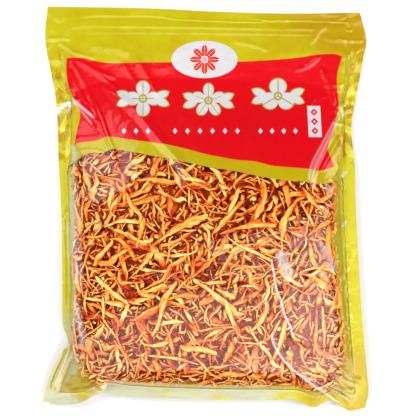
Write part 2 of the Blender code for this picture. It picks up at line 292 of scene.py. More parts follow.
# The creases of the front film, on the raw plan: half width, height of the crest, and its points.
CREASES = (
    # the long fold whose left side lies open to the light, and the fine lines beside it
    (5.5, 1.9, ((-73.1, 84.6), (-52, 70.5), (-30.8, 45.8), (-18.1, 31.7), (-12.5, 21.2), (-15.3, 4.9))),
    (1.5, 1, ((-85.1, 84.6), (-74.5, 61.3), (-70.3, 49.4), (-63.9, 35.3), (-58.3, 24.7))),
    (1.5, 0.9, ((-80.2, 81.1), (-71.7, 61.3), (-66.8, 47.2), (-60.4, 33.1))),
    # the star drawn in at the left seal
    (2.6, 2.2, ((-92.5, 74.5), (-82.6, 66.3), (-73.5, 57.5))),
    (2.2, 1.6, ((-92, 72.2), (-83.5, 62.7), (-75.6, 53.3))),
    (4.2, 3.2, ((-86, 74.3), (-97, 71.9), (-107, 70.5))),
    (4, 2.6, ((-88.5, 71.6), (-98.5, 80.7), (-106, 91))),
    (4, 2.6, ((-89, 75.5), (-97.1, 63.6), (-102.8, 50))),
    (3.6, 2.4, ((-90.5, 77.5), (-92.9, 58.9), (-95.7, 47.4), (-97.1, 32.8))),
    (3.4, 2.2, ((-99.5, 108), (-95.3, 88.6), (-90.7, 70))),
    # the bands that fan out from the corner of the print
    (2.5, 0.9, ((-94.3, 104.3), (-76.6, 95.2), (-61, 88.5))),
    (2.2, 0.9, ((-89.2, 104.2), (-73.1, 91.6), (-57, 78.7))),
    (2.6, 1.1, ((-93.9, 102.8), (-83.7, 84.6), (-75.6, 65))),
    (2.4, 1.2, ((-95.3, 97.2), (-88.6, 81.1), (-80.6, 69.5))),
    (4, 1.2, ((-48, 104.2), (-37.9, 88.1), (-31.2, 75.6))),
    (3, 0.9, ((-58, 101.2), (-49, 88.1), (-41.2, 80))),
    (3, 1.2, ((-104, 117), (-92, 108), (-76, 103))),
    # the double fold from the pinch at the right seal, and the folds round that pinch
    (4, 1.9, ((98.1, 67.6), (89, 49.4), (80.6, 31.7), (75.6, 19), (76.4, 7.2))),
    (3, 1.6, ((101.6, 56.3), (90.5, 38.8), (81, 21.3))),
    (3, 2, ((92, 65), (99, 66.5), (106, 68.4))),
    (4, 2.8, ((90, 59), (98, 56.5), (108, 53))),
    (4, 2.4, ((93, 58), (99.5, 46), (107, 34))),
    (3.4, 2.2, ((99, 111), (103.5, 93), (100.5, 77.5), (93.5, 62))),
    (2.4, 1.4, ((106.5, 104), (101.5, 85), (106, 68))),
    (2.6, 1.2, ((109, 112), (106, 98), (107.5, 82))),
    (3, 1.2, ((82.4, 97.2), (89, 82.5), (93.1, 68.5))),
    (2, 0.9, ((82.6, 105.6), (73.5, 98), (63.1, 94.2))),
    # the two long folds that run to the lower right corner
    (2.4, 1.1, UPPER_FOLD),
    (2.4, 1.2, LOWER_FOLD),
    (1.8, 1.2, ((56, -92), (66, -97), (79, -110))),
    (3, 1.8, ((79, -124), (94, -130), (109, -132))),
    (3, 1.8, ((84, -120), (96, -129), (104, -142))),
    (3, 1.6, ((92, -114), (103, -122), (113, -124))),
    # the lower left corner, and the soft folds down the left side
    (3, 2, ((-93, -96), (-99, -112), (-108, -132))),
    (5, 1.6, ((-86, -108), (-76, -122), (-70, -131))),
    (2.6, 1.1, ((-96, 38), (-94, 10), (-96, -18), (-94.5, -48), (-95.5, -80))),
    (5, 2, ((-93, -50), (-89, -72), (-82, -92), (-84, -110))),
    # the lines of the zip and of the header
    (1.5, 0.30, ((-98, 126.5), (0, 125.6), (100, 123.5))),
    (1.3, 0.25, ((-98, 122), (0, 121.4), (100, 119.8))),
    (9, 0.7, ((31, 130.6), (46, 131), (62, 129))),
    (5, 0.8, ((-103, 131), (-75, 133.5), (-50, 132.5))),
    (5, 0.45, ((-82, 112.5), (-62, 110.5), (-50, 106))),
    (3, 0.4, ((18, 116), (34, 113.5), (48, 108))),
    (2, 1.4, ((-113, 117), (-104, 117.4), (-94, 117))),
    (2, 1, ((92, 117.5), (102, 116), (114, 115.5))),
)
# How sharp a crest is, the share of its length over which each end fades, its width there and what the
# rest adds, and how finely it is followed.
CREST, CREASE_ENDS = 1.25, 0.16
END_WIDTH, MORE_WIDTH = 0.55, 0.45
STEPS_A_POINT = 4

# Glare painted on the front film in pale lines and patches, on the raw plan: half width, strength and
# points. It stands for reflections in the folds, and first come those of the two long folds.
GLARE_COLOUR = (0.80, 0.88, 0.98)
GLARE = (
    (1.2, 0.78, UPPER_FOLD),
    (1.15, 0.80, LOWER_FOLD),
    (1, 0.45, ((66, -118), (84, -127), (97, -134), (104, -139.5))),
    (8, 0.40, ((52, -31), (57, -42), (61.5, -56))),
    # the two pinches, the double fold, and small glints in the right seal
    (1.2, 0.70, ((-94, 76), (-86, 69), (-76, 60.5))),
    (1, 0.35, ((-91.5, 73), (-86, 66), (-78, 56))),
    (4.2, 1.00, ((-107, 66), (-100, 67.5), (-93, 73))),
    (3, 0.18, ((98, 68), (86, 43), (77.5, 24.7), (77.5, 2))),
    (1.2, 0.28, ((96, 66), (83.5, 43), (75, 25), (76, 12))),
    (1.8, 0.55, ((97, 19.5), (101, 24))),
    (1.8, 0.55, ((97, -16), (101, -11))),
    (1.6, 0.50, ((96, 70.5), (99, 61.5))),
    # the sheets of film that stand off the strands at the right and down the left side
    (5.5, 0.28, ((80, -24), (87, -35), (93, -50))),
    (4, 0.26, ((-94, 44), (-90.5, 34), (-93, 20))),
    (4.5, 0.24, ((-97, -10), (-94, -22), (-95, -40))),
    (5.5, 0.24, ((-93, -64), (-87, -84), (-86, -104))),
)

# Small wrinkles that run in from the side seals: how many, half widths, lengths, heights, the spread of
# their headings in radians, how far out they start as a share of the seal, and their bend.
WRINKLES = 64
WRINKLE_HALF, WRINKLE_LENGTH, WRINKLE_HEIGHT = (1.2, 3.4), (12.0, 40.0), (0.15, 0.75)
WRINKLE_SPREAD, WRINKLE_START, WRINKLE_BEND = 0.75, 0.7, 0.16
WRINKLE_SEED = 12
# How much taller the back film's folds are than those wrinkles.
BACK_FOLDS = 2.0
# The film's slow waves: how many, their lengths, and the height of each.
WAVES = 22
WAVE_LENGTH, WAVE_HEIGHT = (34.0, 80.0), 0.05
# The crumple of the side seals: the same, and where it starts and over how much of v it grows.
CRUMPLES = 14
CRUMPLE_LENGTH, CRUMPLE_HEIGHT = (12.0, 30.0), 0.16
CRUMPLED_FROM = (0.66, 0.14)
# How steeply at least the front film rises from the zip towards the filling, and down to which v.
LEAST_RISE, RISES_DOWN_TO = 0.03, 0.80

# The slow dome of the filling: a point of its crest line, the heading of the line's lower side, its
# height along the crest, and its fall a square millimetre away from it.
CREST_POINT, CREST_SIDE = (-17.0, -37.0), (0.438, -0.899)
DOME, DOME_FALL = 1.2, 0.00070


def crease_lift(x, y, half, height, points):
    """The height at (x, y) of one crease, a sharp crest that fades at its ends."""
    line = smooth_line(points, STEPS_A_POINT * (len(points) + 1))
    nearest, share = np.full(x.shape, np.inf), np.zeros(x.shape)
    for number, (start, end) in enumerate(zip(line[:-1], line[1:])):
        run = end - start
        along = ((x - start[0]) * run[0] + (y - start[1]) * run[1]) / (run @ run)
        along = np.clip(along, 0, 1)
        away = np.hypot(x - start[0] - along * run[0], y - start[1] - along * run[1])
        closer = away < nearest
        nearest = np.where(closer, away, nearest)
        share = np.where(closer, (number + along) / (len(line) - 1), share)
    fade = ease(share / CREASE_ENDS) * ease((1 - share) / CREASE_ENDS)
    widen = half * (END_WIDTH + MORE_WIDTH * fade)
    return height * fade * np.clip(1 - nearest / widen, 0, 1) ** CREST


def wrinkles(draw, x, y, low, high):
    """The height of small wrinkles that run in from the side seals between heights low and high."""
    height = np.zeros(x.shape)
    for number in range(WRINKLES):
        side = (-1, 1)[number % 2]
        across = 0.5 + side * (0.5 - SIDE_SEAL * WRINKLE_START)
        start = raw_plan(np.array(across), np.array(draw.uniform(low, high)))
        angle = draw.normal(0, WRINKLE_SPREAD)
        arm = np.array([-side * math.cos(angle), math.sin(angle)]) * draw.uniform(*WRINKLE_LENGTH)
        bend = np.array([-arm[1], arm[0]]) * draw.normal(0, WRINKLE_BEND)
        points = (start, start + arm / 2 + bend, start + arm)
        half, tall = draw.uniform(*WRINKLE_HALF), draw.uniform(*WRINKLE_HEIGHT)
        height = np.maximum(height, crease_lift(x, y, half, tall, points))
    return height


def waves_at(draw, x, y, count, lengths):
    """The sum of count plane waves of random headings, each from -1 to 1."""
    total = np.zeros(x.shape)
    for _ in range(count):
        angle, length = draw.uniform(0, math.pi), draw.uniform(*lengths)
        phase = draw.uniform(0, 2 * math.pi)
        total += np.sin(2 * math.pi * (x * math.cos(angle) + y * math.sin(angle)) / length + phase)
    return total


def film_lift(x, y, u, v):
    """How far the creases, wrinkles, slow waves and dome lift the front film above its drawn shape."""
    draw = np.random.default_rng(WRINKLE_SEED)
    lift = wrinkles(draw, x, y, 0.0, 1.0)
    for half, height, points in CREASES:
        lift = np.maximum(lift, crease_lift(x, y, half, height, points))
    waves = WAVE_HEIGHT * waves_at(draw, x, y, WAVES, WAVE_LENGTH) * (1 - in_seal(u, v))
    crumple = CRUMPLE_HEIGHT * abs(waves_at(draw, x, y, CRUMPLES, CRUMPLE_LENGTH)) * in_seal(u, v)
    crumple = crumple * ease((v - CRUMPLED_FROM[0]) / CRUMPLED_FROM[1])
    away = (x - CREST_POINT[0]) * CREST_SIDE[0] + (y - CREST_POINT[1]) * CREST_SIDE[1]
    dome = (DOME - DOME_FALL * away * away) * fullness(u, v)
    return lift + dome + waves + crumple


def filled_below_zip(height, v):
    """The height with the hollow below the zip drawn tight, row by row down from the zip."""
    height = height.copy()
    rows = np.flatnonzero((v[:, 0] < ZIP_AT) & (v[:, 0] > RISES_DOWN_TO))[::-1]
    step = LEAST_RISE * FLAT_HEIGHT * (v[1, 0] - v[0, 0])
    for row in rows:
        height[row] = np.maximum(height[row], height[row + 1] + step)
    return height


def neighbours(kind, start):
    """The slices of a grid that hold every other pair of neighbours of one kind."""
    low, high, every = slice(start, -1, 2), slice(start + 1, None, 2), slice(None)
    return {
        "row": ((every, low), (every, high)),
        "column": ((low, every), (high, every)),
        "rising": ((low, slice(0, -1)), (high, slice(1, None))),
        "falling": ((low, slice(1, None)), (high, slice(0, -1))),
    }[kind]


def pull_together(points, rest, kind):
    """Moves neighbours of one kind towards their flat distance, each by half of the correction."""
    for start in (0, 1):
        first, second = neighbours(kind, start)
        gap = points[second] - points[first]
        length = np.sqrt(np.einsum("...i,...i", gap, gap))
        excess = 1 - rest[first] / np.maximum(length, LEAST_LENGTH)
        move = gap * (0.5 * STIFFNESS[kind] * excess)[..., None]
        points[first] += move
        points[second] -= move


def relaxed(points, v, held, form, under, steps):
    """The film after steps of drawing every edge to its flat length and easing every bend."""
    rows, columns = v.shape
    rest = {
        "row": (REST_BOTTOM + (REST_TOP - REST_BOTTOM) * v) / (columns - 1),
        "column": np.full_like(v, REST_HEIGHT / (rows - 1)),
    }
    rest["rising"] = rest["falling"] = np.hypot(rest["row"], rest["column"])
    points, last, fixed = points.copy(), points.copy(), points[held]
    for _ in range(steps):
        speed = SPEED_KEPT * (points - last)
        last = points.copy()
        points += speed
        points[..., 2] += FORM_PULL * (form - points[..., 2])
        round_about = points[:-2, 1:-1] + points[2:, 1:-1] + points[1:-1, :-2] + points[1:-1, 2:]
        points[1:-1, 1:-1] += BENDING * (round_about / 4 - points[1:-1, 1:-1])
        for kind in rest:
            pull_together(points, rest[kind], kind)
        points[held] = fixed
        points[..., 2] = np.maximum(points[..., 2], under)
    return points


def finer(grid, rows, columns):
    """A grid of points read at more rows and columns."""
    old_rows, old_columns = grid.shape[:2]
    i = np.linspace(0, old_rows - 1, rows)
    j = np.linspace(0, old_columns - 1, columns)
    i0, j0 = np.minimum(i.astype(int), old_rows - 2), np.minimum(j.astype(int), old_columns - 2)
    fi, fj = (i - i0)[:, None, None], (j - j0)[None, :, None]
    near = grid[i0][:, j0] * (1 - fj) + grid[i0][:, j0 + 1] * fj
    far = grid[i0 + 1][:, j0] * (1 - fj) + grid[i0 + 1][:, j0 + 1] * fj
    return near * (1 - fi) + far * fi


def film_grid(rows, columns):
    """The u and v of the points of a grid over a whole film."""
    return np.meshgrid(np.linspace(0, 1, columns + 1), np.linspace(0, 1, rows + 1))


def drawn_front():
    """The front film drawn to its widths and height in finer and finer grids: u, v and its points."""
    moved = None
    draw = np.random.default_rng(FILM_SEED)
    for columns, rows, steps in FILM_LEVELS:
        u, v = film_grid(rows, columns)
        form, free = front_height(u, v), 1 - in_seal(u, v)
        start = at_height(u, v, form)
        if moved is None:
            points = start + free[..., None] * draw.normal(0, START_ASTRAY, start.shape)
        else:
            points = start + finer(moved, rows + 1, columns + 1)
        held = (in_seal(u, v) > 0.5) | (v > TOP_HELD_FROM) | (zip_parting(u, v) > ZIP_HELD_FROM)
        points[held] = start[held]
        under = back_height(u, v) + FILMS_APART * free
        points = relaxed(points, v, held, form, under, steps)
        moved = points - start
    points[..., 2] = filled_below_zip(points[..., 2], v)
    x, y = np.moveaxis(seen_plan(points), -1, 0)
    points[..., 2] += film_lift(x, y, u, v)
    return u, v, points


def read_at(grid, u, v):
    """A film's points read at (u, v) by straight lines between them."""
    rows, columns = grid.shape[:2]
    i, j = np.clip(v, 0, 1) * (rows - 1), np.clip(u, 0, 1) * (columns - 1)
    i0, j0 = np.minimum(i.astype(int), rows - 2), np.minimum(j.astype(int), columns - 2)
    fi, fj = (i - i0)[..., None], (j - j0)[..., None]
    near = grid[i0, j0] * (1 - fj) + grid[i0, j0 + 1] * fj
    far = grid[i0 + 1, j0] * (1 - fj) + grid[i0 + 1, j0 + 1] * fj
    return near * (1 - fi) + far * fi


# The sides of the filling, as points on the raw plan, its lower and upper ends along v, and how far
# from them the back film rises to meet the front film.
FILL_LEFT = (
    (-76.6, -128), (-79, -122), (-84.4, -114.9), (-85.1, -102.2), (-90, -91.6), (-88.6, -74),
    (-90, -56.4), (-92.5, -40.2), (-90, -24.7), (-88.6, -12), (-90.7, 3.5), (-91.8, 17.6),
    (-89.3, 31.7), (-84.4, 45.8), (-84, 60),
)
FILL_RIGHT = (
    (90, -128), (97, -122), (99.6, -112), (99.6, -105.8), (98.2, -88.1), (96.8, -67),
    (94, -45.8), (89.7, -24.7), (91.9, -7), (91.2, 10.6), (90, 30), (88, 60),
)
FILL_V = (BOTTOM_SEAL + 0.005, 0.67)
FILL_STEPS = 60
RAISED_WITHIN, RAISED_BELOW_TOP = 9.0, 0.10


def fill_side(points, v):
    """The u of one side of the filling at heights v."""
    side_u, side_v = seen_at(*smooth_line(points, FILL_STEPS).T)
    return np.interp(v, side_v, side_u)


def inside_fill(u, v):
    """How many millimetres (u, v) lies inside the sides and the lower end of the filling."""
    inside = (v - FILL_V[0]) * FLAT_HEIGHT
    for points, side in ((FILL_LEFT, 1), (FILL_RIGHT, -1)):
        inside = np.minimum(inside, side * (u - fill_side(points, v)) * FLAT_WIDTH)
    return inside


def lying_back(u, v, front):
    """The back film's height, where front is the front film's: they meet where nothing parts them."""
    low = back_height(u, v)
    empty = (1 - ease(inside_fill(u, v) / RAISED_WITHIN)) * (1 - in_seal(u, v))
    empty = empty * (1 - ease((v - FILL_V[1] + RAISED_BELOW_TOP) / RAISED_BELOW_TOP))
    return low + np.maximum(front - FILMS_APART - low, 0) * empty


def drawn_back(rows, columns, front):
    """The back film: its seals follow the front film's, and outward folds run over the rest."""
    u, v = film_grid(rows, columns)
    x, y = np.moveaxis(raw_plan(u, v), -1, 0)
    height = lying_back(u, v, read_at(front, u, v)[..., 2])
    welded = ease(in_seal(u, v))
    draw = np.random.default_rng(WRINKLE_SEED + 1)
    folds = BACK_FOLDS * np.maximum(wrinkles(draw, x, y, 0.0, 0.5), wrinkles(draw, x, y, 0.5, 1.0))
    height = np.maximum(FILM, height - folds * (1 - welded) + film_lift(x, y, u, v) * welded)
    return u, v, at_height(u, v, height)


# ---------------------------------------------------------------- the strands

# Each kind: lengths, half widths, thickness as a share of width, spread of bend, sway and twist in
# radians, rings along and points round its mesh, and half widths from the cut end to the tip as shares
# of the widest.
Kind = namedtuple("Kind", "lengths halves thin bend sway twist stations sides widths")
STRAND_KINDS = {
    "club": Kind(
        (15, 50), (1.1, 2.9), 0.38, 0.30, 0.15, 0.9, 18, 10,
        (0.40, 0.46, 0.55, 0.70, 0.92, 1.0, 0.88, 0.50),
    ),
    "ribbon": Kind(
        (9, 34), (0.8, 2.7), 0.22, 0.42, 0.20, 2.2, 14, 8,
        (0.60, 0.90, 1.0, 0.86, 0.96, 0.84, 0.80, 0.45),
    ),
    "thread": Kind(
        (8, 30), (0.36, 0.90), 0.80, 0.42, 0.20, 0.5, 12, 5,
        (0.60, 0.86, 0.92, 1.0, 0.94, 1.0, 0.86, 0.45),
    ),
    "chip": Kind((3, 11), (0.5, 1.7), 0.40, 0.5, 0.20, 1.5, 6, 6, (0.60, 0.95, 1.0, 0.85, 0.50)),
}
# The share of each kind among the strands against the film, among all below them, and among the bits
# that fill the gaps between them.
ON_TOP, BELOW, IN_GAPS = (0.18, 0.22, 0.34, 0.26), (0.10, 0.18, 0.44, 0.28), (0.0, 0.10, 0.35, 0.55)
TOP_STRANDS = 300
STRANDS_TRIED, BITS_TRIED = 6500, 7000
STRAND_SEED = 41
SAMPLES = 40
# A strand's shape, in shares of its length: its swellings (height and how many), how suddenly and how
# far its ends narrow, its roll in radians, the spread of its thickness, its two sways, and its kinks.
SWELLS = ((0.20, (1.5, 3)), (0.15, (4, 9)))
BLUNTNESS, BLUNTED = 14, 0.5
ROLL, THICKNESSES = 0.35, (0.8, 1.3)
SWAYS = (1.0, 2.3)
KINKS, KINK, KINK_AT, KINK_LENGTH = 3, 0.55, (0.05, 0.95), 0.04
FORKED, FORK = 0.30, (0.15, 0.60)
# How far one end dips below the rest, and from which share of the way.
DIVE, DIVES_FROM = 1.4, 0.8
# How a strand finds its place: room below the film, the deepest that still shows, the places tried and
# how many of the barest are kept, the points across it that touch, and what each adds to the cover.
CLEAR_OF_FILM, DEEPEST = 0.30, 16.0
PLACES_TRIED, GAPS_TRIED, BEST_KEPT, TRIED_U = 5, 60, 4, (0.04, 0.96)
ACROSS = np.array([-0.85, -0.45, 0.0, 0.45, 0.85])
COVER, SETTLINGS = 0.2, 14
# Its rings: how far they crowd to its ends, its three and two ridges and how they turn along it, its
# roughness, and the spread of its grain and of its paleness.
EVENLY, CROWDED = 0.6, 0.2
THREE_RIDGES, TWO_RIDGES, RIDGE_TURN, ROUGHNESS = 0.14, 0.12, 1.5, 0.10
GRAIN_SPREAD, PALENESS = 900, (1.2, 1.2)

# The strands that stand out, where they lie on the raw plan: kind, half width and points. The one beside
# the bottom seal and the one beside the right seal find no room.
STANDOUT = (
    ("club", 3.1, ((-32.6, -25.4), (-16.7, -14.1), (3, -6.3))),
    ("club", 2.4, ((10.8, -18.3), (29.8, -12.7), (47.4, -12))),
    ("ribbon", 2.6, ((37.9, 15.2), (39, 5.6), (33.1, -9.2))),
    ("club", 2.3, ((64.9, 5.6), (60.1, 4.2), (52.7, -7.8), (50.7, -21.2))),
    ("thread", 1, ((62.8, 3), (72.1, -14.5))),
    ("club", 1.9, ((24.9, 2.8), (7.3, -17.6))),
    ("ribbon", 2.6, ((-22.7, 6.3), (-20.9, -8.5))),
    ("club", 2.1, ((-44.2, -26.8), (-38.6, -7.8))),
    ("club", 2.3, ((-42.1, -40.9), (-32.9, -29.6))),
    ("ribbon", 1.6, ((-61.1, 24), (-54.1, 20.4), (-52, 1.4))),
    ("thread", 1.1, ((-65.6, -59.2), (-64.7, -74))),
    ("club", 2.2, ((-64.2, -76.9), (-66.9, -88.1))),
    ("club", 1.9, ((-43.9, -49.8), (-40.7, -56.4), (-31.2, -59.9))),
    ("club", 2, ((-23.8, -61.3), (-12, -58.5), (-1.5, -59.2))),
    ("club", 1.7, ((-23.1, -78.3), (-13.6, -94.5))),
    ("thread", 1.2, ((-31.2, -97.1), (-15, -99), (1.3, -103.9))),
    ("ribbon", 2.6, ((-69.6, -90.2), (-68.9, -101.5))),
    ("club", 2.5, ((-52, -122), (-33.8, -114.6))),
    ("ribbon", 1.5, ((16.4, -94.8), (18, -84.8), (23.5, -81.1))),
    ("club", 2.2, ((9.4, -54.3), (21.9, -60.3))),
    ("thread", 1.3, ((74.6, -67.3), (75.4, -100.8))),
    ("thread", 1.2, ((78.5, -68.7), (82.3, -100.8))),
    ("club", 2.4, ((95.2, -88.6), (100.6, -105.5))),
    ("club", 1.9, ((71.9, -18.3), (83, -7.8))),
)


class Pile:
    """The room left for strands: the height of what lies above each square millimetre of the film."""

    def __init__(self, front):
        u, v = np.meshgrid(
            (np.arange(FLAT_WIDTH) + 0.5) / FLAT_WIDTH, (np.arange(FLAT_HEIGHT) + 0.5) / FLAT_HEIGHT
        )
        self.front = front
        self.film = read_at(front, u, v)[..., 2] - CLEAR_OF_FILM
        self.floor = lying_back(u, v, self.film) + CLEAR_OF_FILM
        self.inside = inside_fill(u, v)
        self.ceiling = self.film.copy()
        self.covered = np.zeros_like(self.film)

    def cells(self, s, t):
        i = np.clip(t.astype(int), 0, int(FLAT_HEIGHT) - 1)
        j = np.clip(s.astype(int), 0, int(FLAT_WIDTH) - 1)
        return i, j


def finish_strand(draw, kind, half, line, way):
    """A strand's kind, points, headings, half widths, half thicknesses, rolls and dive, by samples."""
    form = STRAND_KINDS[kind]
    share = np.linspace(0, 1, SAMPLES)
    width = half * np.interp(share, np.linspace(0, 1, len(form.widths)), form.widths)
    counts = [draw.uniform(*waves) for _, waves in SWELLS]
    for (swell, _), waves in zip(SWELLS, counts):
        width = width * (1 + swell * np.sin(2 * math.pi * (waves * share + draw.uniform())))
    width = width * (1 - (2 * share - 1) ** BLUNTNESS * BLUNTED)
    roll = draw.normal(0, ROLL) + draw.normal(0, form.twist) * (share - 0.5)
    dive = draw.exponential(DIVE) * ease(abs(share - draw.choice((0.0, 1.0))) * 2.0 - DIVES_FROM)
    return kind, line, way, width, width * form.thin * draw.uniform(*THICKNESSES), roll, dive


def random_strand(draw, kind):
    """A strand of its kind with a bend and two waves, about its own middle."""
    form = STRAND_KINDS[kind]
    share = np.linspace(0, 1, SAMPLES)
    way = draw.uniform(0, 2 * math.pi) + draw.normal(0, form.bend) * share
    for waves in SWAYS:
        reach = draw.normal(0, form.sway / waves)
        way = way + reach * np.sin(2 * math.pi * (waves * share + draw.uniform()))
    for _ in range(KINKS):
        way = way + draw.normal(0, KINK) * ease((share - draw.uniform(*KINK_AT)) / KINK_LENGTH)
    step = draw.uniform(*form.lengths) / (SAMPLES - 1)
    line = np.cumsum(np.stack([np.cos(way), np.sin(way)], -1) * step, axis=0)
    return finish_strand(draw, kind, draw.uniform(*form.halves), line - line[SAMPLES // 2], way)


def standout_strand(draw, kind, half, points):
    """A strand along the points of the raw plan, in flat millimetres."""
    u, v = seen_at(*smooth_line(points, SAMPLES).T)
    line = np.stack([u * FLAT_WIDTH, v * FLAT_HEIGHT], -1)
    run = np.gradient(line, axis=0)
    return finish_strand(draw, kind, half, line, np.arctan2(run[:, 1], run[:, 0]))


def fork(draw, kind, line, way):
    """Another strand of this kind from the same cut end, at a small angle to the first."""
    _, other, heading, *rest = random_strand(draw, kind)
    turn = way[0] - heading[0] + draw.choice((-1, 1)) * draw.uniform(*FORK)
    cos, sin = math.cos(turn), math.sin(turn)
    other = (other - other[0]) @ np.array([[cos, sin], [-sin, cos]]) + line[0]
    return (kind, other, heading + turn, *rest)


def fits(pile, line, reach):
    """Whether the line stays inside the filling's sides and ends."""
    return pile.inside[pile.cells(*line.T)].min() > reach and line[:, 1].max() < FILL_V[1] * FLAT_HEIGHT


def barest_place(draw, pile, line, reach, places):
    """The line moved to the least covered of random places, or None if none of the best holds it."""
    tried = np.stack([draw.uniform(*TRIED_U, places), draw.uniform(*FILL_V, places)], -1)
    tried *= (FLAT_WIDTH, FLAT_HEIGHT)
    cells = pile.cells(*tried.T)
    crowd = pile.covered[cells] + np.where(pile.inside[cells] > reach, 0, math.inf)
    for place in tried[np.argsort(crowd)[:BEST_KEPT]]:
        if fits(pile, line + place, reach):
            return line + place
    return None


def press_up(pile, kind, line, way, width, thick, roll, dive):
    """The strand raised against the film or the strands above it, or None where it has no room."""
    side = np.stack([-np.sin(way), np.cos(way)], -1)
    reach = np.hypot(width * np.cos(roll), thick * np.sin(roll))
    tall = np.hypot(width * np.sin(roll), thick * np.cos(roll))
    foot = line[:, None] + side[:, None] * (ACROSS[None, :, None] * reach[:, None, None])
    cells = pile.cells(foot[..., 0], foot[..., 1])
    z = pile.ceiling[cells].min(1) - tall - dive
    for _ in range(SETTLINGS):
        beside = np.concatenate([z[1:2], z, z[-2:-1]])
        z = np.minimum(z, (beside[:-2] + z + beside[2:]) / 3)
    np.add.at(pile.covered, cells, COVER)
    depth = pile.film[cells].min(1) - z
    if depth.max() > DEEPEST or (z - tall < pile.floor[cells].max(1)).any():
        return None
    np.minimum.at(pile.ceiling, cells, z[:, None] - tall[:, None] * np.sqrt(1 - ACROSS**2))
    middle = read_at(pile.front, *(line / (FLAT_WIDTH, FLAT_HEIGHT)).T)
    middle[:, 2] = z
    return kind, middle, width, thick, roll, depth


def pack_strands(front):
    """Every strand of the filling, from the film down, as (kind, middle line, half width, ...)."""
    draw = np.random.default_rng(STRAND_SEED)
    pile = Pile(front)
    packed = [press_up(pile, *standout_strand(draw, *row)) for row in STANDOUT]
    for number in range(STRANDS_TRIED + BITS_TRIED):
        in_gaps = number >= STRANDS_TRIED
        shares = IN_GAPS if in_gaps else ON_TOP if len(packed) < TOP_STRANDS else BELOW
        kind = str(draw.choice(list(STRAND_KINDS), p=shares))
        kind, line, way, width, *rest = random_strand(draw, kind)
        line = barest_place(draw, pile, line, width.max(), GAPS_TRIED if in_gaps else PLACES_TRIED)
        if line is None:
            continue
        packed.append(press_up(pile, kind, line, way, width, *rest))
        if draw.uniform() < FORKED:
            _, line, way, width, *rest = fork(draw, kind, line, way)
            if fits(pile, line, width.max()):
                packed.append(press_up(pile, kind, line, way, width, *rest))
    return [strand for strand in packed if strand]


def strand_rings(draw, kind, middle, width, thick, roll, depth):
    """The rings of points round one strand, with each point's grain, and its tone with painted shade for
    depth and underside.
    """
    sides = STRAND_KINDS[kind].sides
    even = np.linspace(0, 1, STRAND_KINDS[kind].stations)
    pick = (EVENLY * even + CROWDED * (1 - np.cos(math.pi * even))) * (SAMPLES - 1)
    middle, width, thick, roll, depth = (
        np.stack([np.interp(pick, np.arange(SAMPLES), row) for row in np.atleast_2d(rows)], -1)
        for rows in (middle.T, width, thick, roll, depth)
    )
    along = np.gradient(middle, axis=0)
    along /= np.linalg.norm(along, axis=1, keepdims=True)
    level = np.cross([0.0, 0.0, 1.0], along)
    level /= np.linalg.norm(level, axis=1, keepdims=True)
    up = np.cross(along, level)
    broad = level * np.cos(roll) + up * np.sin(roll)
    flat = up * np.cos(roll) - level * np.sin(roll)
    turn = 2 * math.pi * np.arange(sides) / sides
    fold = turn - draw.uniform(0, 6) - draw.normal(0, RIDGE_TURN) * even[:, None]
    wrinkle = 1 + THREE_RIDGES * np.cos(3 * fold) + TWO_RIDGES * np.cos(2 * fold)
    wrinkle = wrinkle + draw.normal(0, ROUGHNESS, fold.shape)
    across = np.cos(turn) * wrinkle * width
    above = np.sin(turn) * wrinkle * thick
    offset = broad[:, None] * across[..., None] + flat[:, None] * above[..., None]
    reach = np.concatenate([[0.0], np.cumsum(np.linalg.norm(np.diff(middle, axis=0), axis=1))])
    own = draw.uniform(0, GRAIN_SPREAD)
    grain = np.stack([reach[:, None] + 0 * across, across, above + own], -1)
    # painted shade: how far the point lies on the strand's underside
    underside_shade = 1 - np.clip(offset[..., 2] / np.abs(offset[..., 2]).max(1, keepdims=True), 0, 1)
    pale = draw.beta(*PALENESS)
    # the strand's own paleness, and painted shade for its depth below the film and for its underside
    tone_and_shade = np.stack([pale + 0 * across, np.clip(depth / DEEPEST, 0, 1) + 0 * across, underside_shade], -1)
    return (middle[:, None] + offset).reshape(-1, 3), grain.reshape(-1, 3), tone_and_shade.reshape(-1, 3)


def tube_faces(first, stations, sides):
    """Quads round one strand's rings and a face at each end; its points start at number first."""
    ring = np.arange(sides)
    station = first + np.arange(stations - 1)[:, None] * sides
    after = (ring + 1) % sides
    here, beyond = (station + ring, station + after), (station + sides + after, station + sides + ring)
    quads = np.stack([*here, *beyond], -1)
    ends = [(first + ring[::-1]).tolist(), (first + ring + (stations - 1) * sides).tolist()]
    return quads.reshape(-1, 4).tolist() + ends


# ---------------------------------------------------------------- meshes


def mesh_object(name, points, faces, material, attributes):
    """A smooth mesh object from points in millimetres, with its attributes by name."""
    mesh = bpy.data.meshes.new(name)
    mesh.from_pydata((np.asarray(points) * MM).tolist(), [], faces)
    for label, values in attributes:
        layer = mesh.attributes.new(label, "FLOAT_VECTOR", "POINT")
        layer.data.foreach_set("vector", np.ascontiguousarray(values, np.float32).ravel())
    mesh.materials.append(material)
    mesh.shade_smooth()
    made = bpy.data.objects.new(name, mesh)
    bpy.context.scene.collection.objects.link(made)
    return made


def grid_faces(rows, columns):
    """The quads of a grid of points, row by row."""
    at = np.arange(rows * columns).reshape(rows, columns)
    return np.stack([at[:-1, :-1], at[:-1, 1:], at[1:, 1:], at[1:, :-1]], -1).reshape(-1, 4).tolist()


def thicken(piece):
    """Gives a film its thickness, on its outer side."""
    shell = piece.modifiers.new("thickness", "SOLIDIFY")
    shell.thickness = FILM * MM
    shell.offset = 1.0


# ---------------------------------------------------------------- patterns in materials


